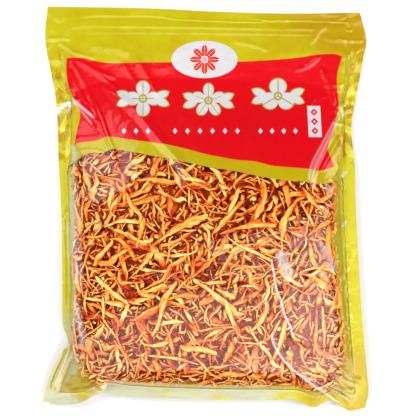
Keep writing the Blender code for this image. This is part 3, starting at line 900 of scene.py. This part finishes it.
class Field:
    """A number that varies over a surface: a node's output, on which arithmetic adds Math nodes."""

    def __init__(self, tree, socket):
        self.tree, self.socket = tree, socket

    def math(self, operation, *others):
        node = self.tree.nodes.new("ShaderNodeMath")
        node.operation = operation
        for socket, value in zip(node.inputs, (self, *others)):
            put(self.tree, socket, value)
        return Field(self.tree, node.outputs[0])

    def __add__(self, other):
        return self.math("ADD", other)

    def __sub__(self, other):
        return self.math("SUBTRACT", other)

    def __rsub__(self, other):
        return (self * -1.0) + other

    def __mul__(self, other):
        return self.math("MULTIPLY", other)

    def __truediv__(self, other):
        return self.math("DIVIDE", other)

    def __abs__(self):
        return self.math("ABSOLUTE")

    __radd__, __rmul__ = __add__, __mul__

    def least(self, other):
        return self.math("MINIMUM", other)

    def most(self, other):
        return self.math("MAXIMUM", other)

    def power(self, exponent):
        return self.math("POWER", exponent)

    def step(self, low, high, start=0.0, end=1.0):
        """A smooth change from start to end while this goes from low to high."""
        node = self.tree.nodes.new("ShaderNodeMapRange")
        node.interpolation_type = "SMOOTHSTEP"
        for socket, value in zip(node.inputs, (self, low, high, start, end)):
            put(self.tree, socket, value)
        return Field(self.tree, node.outputs[0])


def put(tree, socket, value):
    """Links a field to a socket, or sets the socket to a constant."""
    if isinstance(value, Field):
        tree.links.new(value.socket, socket)
    else:
        socket.default_value = value


def attribute(tree, name):
    node = tree.nodes.new("ShaderNodeAttribute")
    node.attribute_name = name
    return Field(tree, node.outputs["Vector"])


def coordinates(tree, kind):
    return Field(tree, tree.nodes.new("ShaderNodeTexCoord").outputs[kind])


def parts_of(vector):
    """The three numbers of a vector field."""
    node = vector.tree.nodes.new("ShaderNodeSeparateXYZ")
    put(vector.tree, node.inputs[0], vector)
    return [Field(vector.tree, socket) for socket in node.outputs]


def vector_of(tree, x, y, z=0.0):
    node = tree.nodes.new("ShaderNodeCombineXYZ")
    for socket, value in zip(node.inputs, (x, y, z)):
        put(tree, socket, value)
    return Field(tree, node.outputs[0])


def noise(vector, scale, detail=3.0, roughness=0.55, distortion=0.0):
    """Noise from 0 to 1 with scale features to each unit of the vector."""
    node = vector.tree.nodes.new("ShaderNodeTexNoise")
    put(vector.tree, node.inputs["Vector"], vector)
    node.inputs["Scale"].default_value = scale
    node.inputs["Detail"].default_value = detail
    node.inputs["Roughness"].default_value = roughness
    node.inputs["Distortion"].default_value = distortion
    return Field(vector.tree, node.outputs[0])


def mixed(factor, start, end):
    """A colour field from start to end, each a colour or a colour field."""
    node = factor.tree.nodes.new("ShaderNodeMix")
    node.data_type = "RGBA"
    put(factor.tree, node.inputs[0], factor)
    for socket, colour in ((node.inputs[6], start), (node.inputs[7], end)):
        put(factor.tree, socket, colour if isinstance(colour, Field) else (*colour, 1.0))
    return Field(factor.tree, node.outputs[2])


def bumped(tree, height, distance):
    """A normal from a height field, whose 1 stands distance metres high."""
    node = tree.nodes.new("ShaderNodeBump")
    node.inputs["Distance"].default_value = distance
    put(tree, node.inputs["Height"], height)
    return Field(tree, node.outputs[0])


def dress(tree, shader, **inputs):
    """Sets or links the shader's inputs, each by its name in small letters."""
    for label, value in inputs.items():
        put(tree, shader.inputs[label.replace("_", " ").title().replace("Ior", "IOR")], value)


def new_material(name, **inputs):
    """A material with a Principled shader and these inputs, its node tree and its shader."""
    material = bpy.data.materials.new(name)
    material.use_nodes = True
    tree = material.node_tree
    shader = tree.nodes["Principled BSDF"]
    dress(tree, shader, **inputs)
    return material, tree, shader


# ---------------------------------------------------------------- the strands' material

# A strand's darkest tone, and the tones that follow it: over which lightness each comes in. The
# lightness holds the strand's own paleness and streaks and also painted shade, so the darker tones serve
# both.
STRAND_DARK = (0.50, 0.026, 0.004)
STRAND_TONES = (
    (-0.55, -0.10, (0.76, 0.090, 0.007)),
    (-0.15, 0.28, (0.90, 0.235, 0.015)),
    (0.25, 0.62, (0.90, 0.45, 0.080)),
    (0.62, 1.10, (0.97, 0.66, 0.23)),
)
# The deep filling's colours, darker than the strands' own: painted shade for how deep it lies.
CORE_DARK, CORE_LIGHT = (0.26, 0.018, 0.004), (0.72, 0.095, 0.008)
# How high the bumps of each material stand, in metres.
STRAND_RELIEF, CORE_RELIEF, FILM_RELIEF, ZIP_RELIEF = 0.0006, 0.002, 0.0006, 0.0001


def strand_material():
    """Dried fungus: cream to rust in fine streaks along it; painted shade reddens and darkens it below.
    """
    material, tree, shader = new_material("dried_cordyceps", specular_ior_level=0.4)
    along, across, above = parts_of(attribute(tree, "grain"))
    paleness, depth, underside_shade = parts_of(attribute(tree, "tone_and_shade"))
    streaks = noise(vector_of(tree, along * 0.13, across * 1.25, above * 1.25), 1.0, 4.0, 0.66)
    mottle = noise(vector_of(tree, along * 0.30, across * 0.5, above * 0.5), 1.0, 3.0)
    light = paleness * 0.72 + 0.42 + (streaks - 0.5) * 2.7 + (mottle - 0.5) * 1.4
    # painted shade: darker and redder on each strand's underside and the deeper it lies below the film
    light = light - underside_shade.power(1.3) * 0.62 - depth.step(0.03, 0.62) * 1.05
    colour = STRAND_DARK
    for low, high, tone in STRAND_TONES:
        colour = mixed(light.step(low, high), colour, tone)
    normal = bumped(tree, streaks + mottle * 0.5, STRAND_RELIEF)
    dress(tree, shader, base_color=colour, roughness=mottle.step(0.2, 0.8, 0.36, 0.62), normal=normal)
    return material


def core_material():
    """The deep filling, where the strands lie too deep to be told apart, darkened as painted shade."""
    material, tree, shader = new_material("packed_cordyceps", roughness=0.8, specular_ior_level=0.2)
    tangle = noise(attribute(tree, "place"), 0.55, 4.0, 0.6, 1.5)
    colour = mixed(tangle.step(0.42, 0.68), CORE_DARK, CORE_LIGHT)
    dress(tree, shader, base_color=colour, normal=bumped(tree, tangle, CORE_RELIEF))
    return material


# ---------------------------------------------------------------- the films' materials and print

GOLD, GOLD_DEEP, GOLD_PALE = (0.47, 0.42, 0.0035), (0.44, 0.345, 0.0010), (0.68, 0.64, 0.045)
AMBER = (0.42, 0.255, 0.0003)
RED, WHITE, OLIVE = (0.62, 0.0013, 0.006), (0.58, 0.565, 0.59), (0.35, 0.31, 0.009)
# The milky gold: the seal's whitish film over gold, and a painted reflection of white light on it.
ROSETTE_RED, GOLD_MILKY_AND_SHEEN = (0.63, 0.029, 0.0095), (0.51, 0.525, 0.35)
CLEAR = (1.0, 1.0, 1.0)
# How soft the print's edges are, and the scale, detail and roughness of the gold's slow clouds.
EDGE = 0.16
CLOUDS = (0.035, 3.0, 0.6)
# Where the gold turns amber: from where to where it comes in, across and up the raw plan and with the
# clouds, at the header's right end, in the corners, at the pinches and in the band below the red. The
# amber at the header's right end and in the pinches' folds is painted shade.
HEADER_END_X, HEADER_END_Y, HEADER_END_CLOUDS = (30, 85), (100, 112), (0.20, 0.50)
CORNER_X, CORNER_Y, CORNER_CLOUDS = (62, 76), (-94, -112), (0.10, 0.45)
PINCH_X, PINCH_FOOT, PINCH_TOP, PINCH_FOLDS = (86, 94), (18, 34), (114, 100), (0.46, 0.60)
BAND_LEFT, BAND_RIGHT, BAND_FOOT, BAND_TOP = (-70, 20), (96, 88), (-10, 5), (47, 38)
CORNER_AMBER, BAND_AMBER, MOST_AMBER = 0.72, 0.55, 0.9
# The same for the milky tone of the lower left corner and of the bottom seal, which ends at the right:
# the seal's whitish film, with a painted reflection of white light.
MILKY_X, MILKY_Y, MILKY_SHARE = (-84, -94), (-66, -92), 0.7
MILKY_FOOT_CLOUDS, MILKY_FOOT_END = (0.30, 0.52), (74, 60)
# The side seals are paler, the more so lower down: from where to where up the raw plan, and how much.
PALE_SEAL = (110, 50, 0.05, 0.55)

# The edges of the red panel and the print's lower edge, on the raw plan.
RED_TOP = (
    (-96.4, 103.8), (-83.7, 103.6), (-78, 101.9), (-66.1, 100.1), (-44.9, 100.5), (3, 100.8),
    (22.1, 101), (46.7, 102.2), (67.9, 104.1), (80.6, 106.1), (92.6, 106.4), (97.5, 104.8),
)
RED_LEFT = (
    (-91.1, 42.2), (-89.8, 51), (-87.1, 64.2), (-92.6, 77.2), (-96, 86.6), (-96.9, 97.8),
    (-96.4, 103.8),
)
RED_RIGHT = (
    (92.4, 27.2), (87.6, 39.8), (90.5, 50.1), (95.1, 69.8), (94.2, 80.9), (94.2, 92.1), (97.5, 104.8),
)
RED_BOTTOM = (
    (-91.1, 42.2), (-88.6, 43.7), (-80.2, 44.8), (-74.5, 45.8), (-69.6, 47.9), (-64.6, 48.1),
    (-52, 46.2), (-37.9, 44.4), (-27.3, 43), (-13.2, 39.8), (3, 35.6), (22.8, 31.9),
    (36.2, 30.7), (48.2, 27.8), (60.8, 26.6), (74.9, 25.4), (82, 24.2), (92.4, 27.2),
)
PRINT_BOTTOM = (
    (-103.4, 26.1), (-97.1, 27.1), (-92.1, 29.6), (-87.5, 33.3), (-83.8, 36), (-78.1, 36.9),
    (-70.6, 36.9), (-66.1, 39.3), (-61.3, 39.3), (-42.6, 36), (-22, 32.3), (3, 26.9),
    (21.7, 24), (42.3, 19.7), (59.1, 17.3), (72.1, 16.4), (82.5, 15), (91.9, 16.4),
    (99.6, 20.4), (107.4, 26.1),
)
LINE_STEPS = 300
# The medallion (x, y, half width, half height) and the size and petals of its rosette, the three flowers
# (x, y, size and petals) and the width of their rims, the rows of small diamonds (the first's and the
# last's x, and how many), and the upright label with the pitch, size and hole of its own diamonds.
MEDALLION, ROSETTE = (0.6, 102.6, 23.3, 13.1), (10.5, 8)
FLOWERS = ((-42.8, 75.1, 15.5, 4), (3.4, 73.7, 15.0, 5), (52.4, 76.8, 15.5, 3))
FLOWER_RIM = 0.75
ROWS_OF_DIAMONDS = ((-56.2, -39.3, 3), (-20.2, 23.8, 6), (40.0, 64.7, 4))
ROW_HEIGHT, DIAMOND, DIAMOND_SLIMNESS = 52.2, 2.1, 1.25
LABEL, LABEL_SLANT = (78.1, 58.9, 4.6, 11.0), -0.055
LABEL_PITCH, LABEL_DIAMOND, LABEL_HOLE = 6.6, 2.6, 0.9


def above_line(points, x, y):
    """How far (x, y) lies above a line from left to right."""
    line = smooth_line(points, LINE_STEPS)
    return y - np.interp(x, line[:, 0], line[:, 1])


def right_of_line(points, x, y):
    """How far (x, y) lies to the right of a line from low to high."""
    line = smooth_line(points, LINE_STEPS)
    return x - np.interp(y, line[:, 1], line[:, 0])


def print_marks(u, v, x, y):
    """The distances in millimetres inside the red panel, inside the print and inside the seals."""
    red = np.minimum(
        np.minimum(-above_line(RED_TOP, x, y), above_line(RED_BOTTOM, x, y)),
        np.minimum(right_of_line(RED_LEFT, x, y), -right_of_line(RED_RIGHT, x, y)),
    )
    side = (seal_width(u, v) - np.minimum(u, 1 - u)) * FLAT_WIDTH
    foot = (BOTTOM_SEAL - v) * FLAT_HEIGHT
    return np.stack([red, above_line(PRINT_BOTTOM, x, y), np.maximum(side, foot)], -1)


def flower(x, y, size, petals):
    """The distance inside a flower of round petals, with veins between them and a ring at its heart."""
    radius = (x * x + y * y).power(0.5)
    turn = x.math("ARCTAN2", y)
    petal = abs((turn * (petals / 2)).math("COSINE")).power(0.6)
    outline = petal * (0.72 * size) + 0.26 * size
    vein = abs((turn * (petals / 2)).math("SINE")) * radius
    heart = abs(radius - 0.20 * size) - 0.05 * size
    return (outline - radius).least(heart).least(vein - 0.05 * size)


def leaf(x, y, length, half):
    """The distance inside a leaf that points along x from the origin."""
    share = x / length
    edge = (share * (1.0 - share)).most(0.0).power(0.7) * (4 * half * 0.66)
    return (edge - abs(y)).least(x).least(length - x)


def turned(x, y, angle):
    """The two coordinates along axes turned left by an angle."""
    cos, sin = math.cos(angle), math.sin(angle)
    return x * cos + y * sin, y * cos - x * sin


def ornament(x, y, size, petals):
    """A flower between two pairs of leaves."""
    found = flower(x, y, size * 0.80, petals)
    for side in (-1, 1):
        for angle in (0.42, -0.42):
            along, aside = turned(side * x - size * 0.50, y, angle)
            found = found.most(leaf(along, aside, size * 0.72, size * 0.17))
    return found


def plain_gold(tree, x, y):
    """The gold's slow clouds, and the gold with them."""
    cloud = noise(vector_of(tree, x, y), *CLOUDS)
    return cloud, mixed(cloud.step(0.35, 0.70), GOLD, GOLD_DEEP)


def gold_tone(x, y, cloud, plain):
    """The gold with its amber places, painted shade among them at the header's end and the pinches."""
    # painted shade: the gold's reflection darker at the header's right end
    header_end_shade = x.step(*HEADER_END_X) * y.step(*HEADER_END_Y) * cloud.step(*HEADER_END_CLOUDS)
    corner = abs(x).step(*CORNER_X) * y.step(*CORNER_Y) * cloud.step(*CORNER_CLOUDS) * CORNER_AMBER
    folds = noise(vector_of(x.tree, x, y * 0.6), 0.16, 2.0, 0.5)
    # painted shade in the folds round the pinches
    pinch_fold_shade = abs(x).step(*PINCH_X) * y.step(*PINCH_FOOT) * y.step(*PINCH_TOP) * folds.step(*PINCH_FOLDS)
    band = x.step(*BAND_LEFT) * x.step(*BAND_RIGHT) * y.step(*BAND_FOOT) * y.step(*BAND_TOP) * BAND_AMBER
    return mixed(header_end_shade.most(corner).most(pinch_fold_shade).most(band) * MOST_AMBER, plain, AMBER)


def painted(inside, colour, paint, grown=0.0):
    """The colour with paint wherever inside, a distance in millimetres, is more than -grown."""
    return mixed(inside.step(-grown - EDGE, -grown + EDGE), colour, paint)


def with_flowers(colour, x, y):
    for at_x, at_y, size, petals in FLOWERS:
        inside = ornament(x - at_x, y - at_y, size, petals)
        colour = painted(inside, colour, OLIVE, FLOWER_RIM)
        colour = painted(inside, colour, WHITE)
    return colour


def with_diamonds(colour, x, y):
    for start, end, count in ROWS_OF_DIAMONDS:
        pitch = (end - start) / (count - 1)
        near = ((x - start) / pitch).math("ROUND").most(0.0).least(count - 1) * pitch + start
        inside = DIAMOND - (abs(x - near) * DIAMOND_SLIMNESS + abs(y - ROW_HEIGHT))
        colour = painted(inside, colour, WHITE)
    return colour


def with_label(colour, x, y):
    at_x, at_y, half_wide, half_tall = LABEL
    across, up = x - at_x - (y - at_y) * LABEL_SLANT, y - at_y
    colour = painted((half_wide - abs(across)).least(half_tall - abs(up)), colour, WHITE)
    near = (up / LABEL_PITCH).math("ROUND").most(-1.0).least(1.0) * LABEL_PITCH
    away = abs(across) + abs(up - near)
    return painted((LABEL_DIAMOND - away).least(away - LABEL_HOLE), colour, RED)


def with_medallion(colour, x, y):
    at_x, at_y, half_wide, half_tall = MEDALLION
    across, up = x - at_x, (y - at_y) * (half_wide / half_tall)
    colour = painted(half_wide - (across * across + up * up).power(0.5), colour, WHITE)
    return painted(flower(across, y - at_y, *ROSETTE), colour, ROSETTE_RED)


def printed(tree):
    """The print's colour, painted shade and reflection in it, its mask, and the painted glare's
    strength.
    """
    x, y, _ = parts_of(attribute(tree, "place"))
    red_in, print_in, seal_in = parts_of(attribute(tree, "marks"))
    glare, foot_in, _ = parts_of(attribute(tree, "glare"))
    cloud, plain = plain_gold(tree, x, y)
    seals = seal_in.step(-0.4, 0.6)
    plain = mixed(seals * y.step(*PALE_SEAL), plain, GOLD_PALE)
    corner = seals * x.step(*MILKY_X) * y.step(*MILKY_Y) * MILKY_SHARE
    foot = foot_in.step(-0.3, 0.3) * cloud.step(*MILKY_FOOT_CLOUDS) * x.step(*MILKY_FOOT_END)
    # milky gold in the lower left corner and the bottom seal: whitish film and painted reflection
    gold = mixed(corner.most(foot), gold_tone(x, y, cloud, plain), GOLD_MILKY_AND_SHEEN)
    colour = painted(red_in, gold, RED)
    for add in (with_flowers, with_diamonds, with_label, with_medallion):
        colour = add(colour, x, y)
    mask = print_in.step(-EDGE, EDGE).most(seal_in.step(-0.15, 0.15))
    return colour, mask, glare


def film_bump(tree):
    """The fine crinkle of the film, too small for its mesh."""
    x, y, _ = parts_of(attribute(tree, "place"))
    wide = noise(vector_of(tree, x, y), 0.09, 2.0, 0.5)
    fine = noise(vector_of(tree, x * 0.4, y), 0.5, 3.0, 0.5)
    return bumped(tree, wide + fine * 0.10, FILM_RELIEF)


# What the clear film mirrors head on, from its outer and its inner face together, and how that grows
# as it tilts away.
FILM_GLOSS, FILM_GLANCE, FILM_EDGE_ON = 0.08, 3.5, 0.9
PRINT_METALLIC, COAT_IOR = 0.25, 1.5
ZIP_TINTS = (0.80, 0.72, 0.22), (0.90, 0.84, 0.40)


def front_film_material():
    """Clear film: opaque in its print and seals, paler where glare is painted, and a gloss elsewhere."""
    coat = {"coat_weight": 1.0, "coat_roughness": 0.04, "coat_ior": COAT_IOR}
    material, tree, shader = new_material("front_film", specular_ior_level=0.5, **coat)
    colour, mask, glare = printed(tree)
    matt = mask.most(glare.step(0.0, 0.3))
    normal = film_bump(tree)
    dress(
        tree,
        shader,
        base_color=mixed(glare, mixed(mask, CLEAR, colour), GLARE_COLOUR),
        metallic=matt.step(0.0, 1.0, 1.0, PRINT_METALLIC),
        roughness=matt.step(0.0, 1.0, 0.055, 0.30),
        normal=normal,
        coat_normal=normal,
    )
    facing = tree.nodes.new("ShaderNodeLayerWeight")
    put(tree, facing.inputs["Normal"], normal)
    gloss = Field(tree, facing.outputs["Facing"]).power(FILM_GLANCE) * FILM_EDGE_ON + FILM_GLOSS
    clear = tree.nodes.new("ShaderNodeBsdfTransparent")
    blend = tree.nodes.new("ShaderNodeMixShader")
    put(tree, blend.inputs[0], mask.most(gloss).most(glare))
    tree.links.new(clear.outputs[0], blend.inputs[1])
    tree.links.new(shader.outputs[0], blend.inputs[2])
    tree.links.new(blend.outputs[0], tree.nodes["Material Output"].inputs["Surface"])
    return material


def back_film_material():
    """Gold laminate, printed all over, inside and out, with the painted shade of its amber places."""
    coat = {"coat_weight": 1.0, "coat_roughness": 0.05, "coat_ior": COAT_IOR}
    material, tree, shader = new_material("back_film", metallic=PRINT_METALLIC, **coat)
    x, y, _ = parts_of(attribute(tree, "place"))
    cloud, plain = plain_gold(tree, x, y)
    colour, normal = gold_tone(x, y, cloud, plain), film_bump(tree)
    roughness = cloud.step(0.3, 0.7, 0.28, 0.40)
    dress(tree, shader, base_color=colour, roughness=roughness, normal=normal, coat_normal=normal)
    return material


def zip_material():
    """The zip's milky plastic, with the fine lines of its drawing along it."""
    material, tree, shader = new_material("zip_plastic", specular_ior_level=0.5)
    x, y, z = parts_of(coordinates(tree, "Object"))
    lines = noise(vector_of(tree, x * 20.0, y * 3000.0, z * 3000.0), 1.0, 2.0)
    colour, roughness = mixed(lines, *ZIP_TINTS), lines.step(0.2, 0.8, 0.25, 0.40)
    dress(tree, shader, base_color=colour, roughness=roughness, normal=bumped(tree, lines, ZIP_RELIEF))
    return material


# ---------------------------------------------------------------- pieces


# The kinds of strand that share a piece, and how many pieces each takes.
STRAND_PIECES = (
    ("clubs", ("club",), 1),
    ("ribbons", ("ribbon", "chip"), 2),
    ("threads", ("thread",), 1),
)


def make_strands(packed):
    """The strands as joined pieces by kind, so that each stays a mesh of a moderate size."""
    material = strand_material()
    draw = np.random.default_rng(STRAND_SEED + 1)
    made = []
    for name, kinds, pieces in STRAND_PIECES:
        chosen = [strand for strand in packed if strand[0] in kinds]
        for number in range(pieces):
            points, grain, tone_and_shade, faces, first = [], [], [], [], 0
            for strand in chosen[number::pieces]:
                form = STRAND_KINDS[strand[0]]
                for rows, found in zip((points, grain, tone_and_shade), strand_rings(draw, *strand)):
                    rows.append(found)
                faces += tube_faces(first, form.stations, form.sides)
                first += form.stations * form.sides
            fields = (("grain", np.concatenate(grain)), ("tone_and_shade", np.concatenate(tone_and_shade)))
            label = f"{name}_{number + 1}"
            made.append(mesh_object(label, np.concatenate(points), faces, material, fields))
    return made


# The deep filling: how far below the film it lies and at most as a share of the room there, how far
# inside the filling's sides, the height of its lumps, its clearance above the back film and its least
# thickness, and its rows and columns.
CORE_DEPTH, CORE_SHARE, CORE_INSET, CORE_LUMPS = 9.0, 0.40, 0.02, 2.4
CORE_CLEARANCE, CORE_LEAST = 0.6, 0.3
CORE_GRID, BACK_GRID = (90, 70), (168, 132)


def make_core():
    """The deep filling: a lumpy mass well below the film, down to the back film."""
    rows, columns = CORE_GRID
    v = np.linspace(FILL_V[0] + CORE_INSET, FILL_V[1], rows)
    left, right = (fill_side(points, v)[:, None] for points in (FILL_LEFT, FILL_RIGHT))
    share = np.linspace(0, 1, columns)
    u = (left + CORE_INSET) * (1 - share) + (right - CORE_INSET) * share
    v = np.repeat(v[:, None], columns, 1)
    room = front_height(u, v) - back_height(u, v)
    draw = np.random.default_rng(STRAND_SEED + 2)
    lumps = draw.normal(0, 1, (rows, columns))
    for axis in (0, 1, 0, 1):
        lumps = (np.roll(lumps, 1, axis) + 2 * lumps + np.roll(lumps, -1, axis)) / 4
    low = back_height(u, v) + CORE_CLEARANCE
    high = front_height(u, v) - np.minimum(CORE_DEPTH, room * CORE_SHARE) + CORE_LUMPS * lumps
    top = at_height(u, v, np.maximum(high, low + CORE_LEAST))
    bottom = at_height(u, v, low)
    points = np.concatenate([top.reshape(-1, 3), bottom.reshape(-1, 3)])
    faces = grid_faces(rows, columns)
    count = rows * columns
    faces += [[a + count for a in reversed(face)] for face in grid_faces(rows, columns)]
    at = np.arange(count).reshape(rows, columns)
    rim = np.concatenate([at[0], at[1:, -1], at[-1, -2::-1], at[-2:0:-1, 0]])
    faces += [[a, a + count, b + count, b] for a, b in zip(rim.tolist(), np.roll(rim, -1).tolist())]
    return mesh_object("packed_strands", points, faces, core_material(), (("place", points),))


def glare_at(x, y):
    """How strongly glare is painted on the film at (x, y), from 0 to 1."""
    glare = np.zeros(x.shape)
    for half, strength, points in GLARE:
        glare = np.maximum(glare, crease_lift(x, y, half, strength, points))
    return glare


def make_film(name, grid, material, outward):
    """A film's mesh from its u, v and points; the print on it lies where the camera sees it."""
    u, v, points = grid
    x, y = np.moveaxis(seen_plan(points), -1, 0)
    nothing = np.zeros(x.shape)
    fields = (
        ("place", np.stack([x, y, nothing], -1)),
        ("marks", print_marks(u, v, x, y)),
        ("glare", np.stack([glare_at(x, y), (BOTTOM_SEAL - v) * FLAT_HEIGHT, nothing], -1)),
    )
    faces = grid_faces(*u.shape)
    if outward < 0:
        faces = [face[::-1] for face in faces]
    return mesh_object(name, points.reshape(-1, 3), faces, material, fields)


# ---------------------------------------------------------------- the studio

SENSOR = 36.0
FLOOR_REACH, FLOOR_SPECKLE, FLOOR_TINTS = 4.0, 40.0, ((0.84, 0.84, 0.84), (0.81, 0.81, 0.81))
# The soft boxes: name, place in metres, side, radiance and colour.
SOFT_BOXES = (
    ("key", (-0.70, 0.55, 1.30), 0.65, 17.6, (1.0, 0.98, 0.94)),
    ("fill", (0.85, -0.30, 1.20), 0.90, 6.5, (1.0, 0.99, 0.97)),
)

# The tent's plain glow low down and overhead, and its panels: radiance, colour, softness of the edge,
# and the directions of the corners, in turn, from the pouch.
TENT_LOW, TENT_HIGH = 0.10, 0.035
HAZE, COOL, BLUISH = (1.03, 0.99, 0.97), (0.88, 0.97, 1.08), (0.45, 0.78, 1.20)
PANELS = (
    # over the lower half, and its brighter right side
    (
        1.00, HAZE, 0.05,
        ((2.2, -0.07, 1), (-0.15, -0.07, 1), (-1.2, -0.32, 1), (-1.7, -1.9, 1), (2.2, -1.9, 1)),
    ),
    (1.25, HAZE, 0.10, ((1.9, 0.1, 1), (0.45, 0, 1), (0.25, -0.6, 1), (0, -1.5, 1), (1.6, -1.6, 1))),
    # over the upper left, the lower left corner and the left side
    (
        1.35, COOL, 0.04,
        ((-0.3, 1.35, 1), (-1.6, 1.5, 1), (-1.5, 0.3, 1), (-0.75, 0.3, 1), (-0.38, 0.7, 1)),
    ),
    (0.35, COOL, 0.06, ((-1, -0.25, 1), (-3.5, -0.1, 1), (-3.5, -2.5, 1), (-1.3, -1.2, 1))),
    (1.40, BLUISH, 0.06, ((-1, 0.3, 0.3), (-1, 0.4, -0.8), (-1, -0.5, -0.8), (-1, -0.6, 0.45))),
    # low and high at the right, for the double fold there
    (1.80, HAZE, 0.05, ((1, 0.2, 0.5), (1, 0.2, 0.02), (0.8, 0.62, 0.02), (0.8, 0.62, 0.5))),
    (1.60, HAZE, 0.05, ((3.5, 0.2, 1), (3.5, 1.2, 1), (1.7, 0.9, 1), (1.7, 0.45, 1))),
)


def panel_share(direction, softness, corners):
    """1 inside one panel and 0 outside it, for a direction given as three fields."""
    share = None
    for corner, following in zip(corners, corners[1:] + corners[:1]):
        inward = Vector(corner).cross(Vector(following)).normalized()
        across = direction[0] * inward.x + direction[1] * inward.y + direction[2] * inward.z
        inside = across.step(-softness, softness)
        share = inside if share is None else inside * share
    return share


def make_soft_box(name, place, side, radiance, colour):
    """A square light aimed at the pouch, which lights it but isn't mirrored in its film."""
    data = bpy.data.lights.new(name, "AREA")
    data.shape, data.size, data.size_y = "RECTANGLE", side, side
    data.energy = math.pi * side * side * radiance
    data.color = colour
    light = bpy.data.objects.new(name, data)
    light.location = place
    light.rotation_euler = (-Vector(place)).to_track_quat("-Z", "Y").to_euler()
    light.visible_glossy = False
    bpy.context.scene.collection.objects.link(light)


def make_floor():
    """The pale floor, which the film doesn't mirror."""
    mesh = bpy.data.meshes.new("floor")
    corners = [(x * FLOOR_REACH, y * FLOOR_REACH, 0) for x, y in ((-1, -1), (1, -1), (1, 1), (-1, 1))]
    mesh.from_pydata(corners, [], [(0, 1, 2, 3)])
    floor = bpy.data.objects.new("floor", mesh)
    bpy.context.scene.collection.objects.link(floor)
    material, tree, shader = new_material("floor", roughness=0.7, specular_ior_level=0.2)
    speckle = noise(coordinates(tree, "Object"), FLOOR_SPECKLE)
    dress(tree, shader, base_color=mixed(speckle, *FLOOR_TINTS))
    mesh.materials.append(material)
    floor.visible_glossy = False


def make_tent():
    """The world: a dim plain glow, and the bright panels that the film mirrors."""
    world = bpy.data.worlds.new("tent")
    world.use_nodes = True
    tree = world.node_tree
    direction = parts_of(coordinates(tree, "Generated"))
    glow = [direction[2].step(-0.2, 0.6, TENT_LOW, TENT_HIGH)] * 3
    for radiance, colour, softness, corners in PANELS:
        share = panel_share(direction, softness, corners)
        glow = [sum_so_far + share * (radiance * part) for sum_so_far, part in zip(glow, colour)]
    put(tree, tree.nodes["Background"].inputs["Color"], vector_of(tree, *glow))
    bpy.context.scene.world = world


def make_camera():
    data = bpy.data.cameras.new("camera")
    data.sensor_width = SENSOR
    data.lens = SENSOR * CAMERA_HEIGHT / PHOTO_SPAN
    camera = bpy.data.objects.new("camera", data)
    across, up = (np.array(PHOTO_MIDDLE) - MIDDLE) * MM
    camera.location = (across, up, CAMERA_HEIGHT)
    bpy.context.scene.collection.objects.link(camera)
    bpy.context.scene.camera = camera


# ---------------------------------------------------------------- all of it

make_camera()
make_floor()
for soft_box in SOFT_BOXES:
    make_soft_box(*soft_box)
make_tent()

front_u, front_v, front_points = drawn_front()
packed = pack_strands(front_points)
front = make_film("front_film_drawn", (front_u, front_v, front_points), front_film_material(), 1)
back = make_film("back_film_drawn", drawn_back(*BACK_GRID, front_points), back_film_material(), -1)
thicken(back)
core = make_core()
strands = make_strands(packed)

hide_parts("front_film")
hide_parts("back_film")
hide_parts("packed_cordyceps")
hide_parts(*[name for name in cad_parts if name.startswith("strand_")])
for piece in (front, back, core, *strands):
    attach(piece, "root")

zip_look = zip_material()
for name in ("zip_rib", "zip_groove"):
    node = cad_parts[name]
    node.data.materials.clear()
    node.data.materials.append(zip_look)

scene = bpy.context.scene
scene.view_settings.view_transform = "Standard"
scene.cycles.use_denoising = True
scene.cycles.transparent_max_bounces = 16
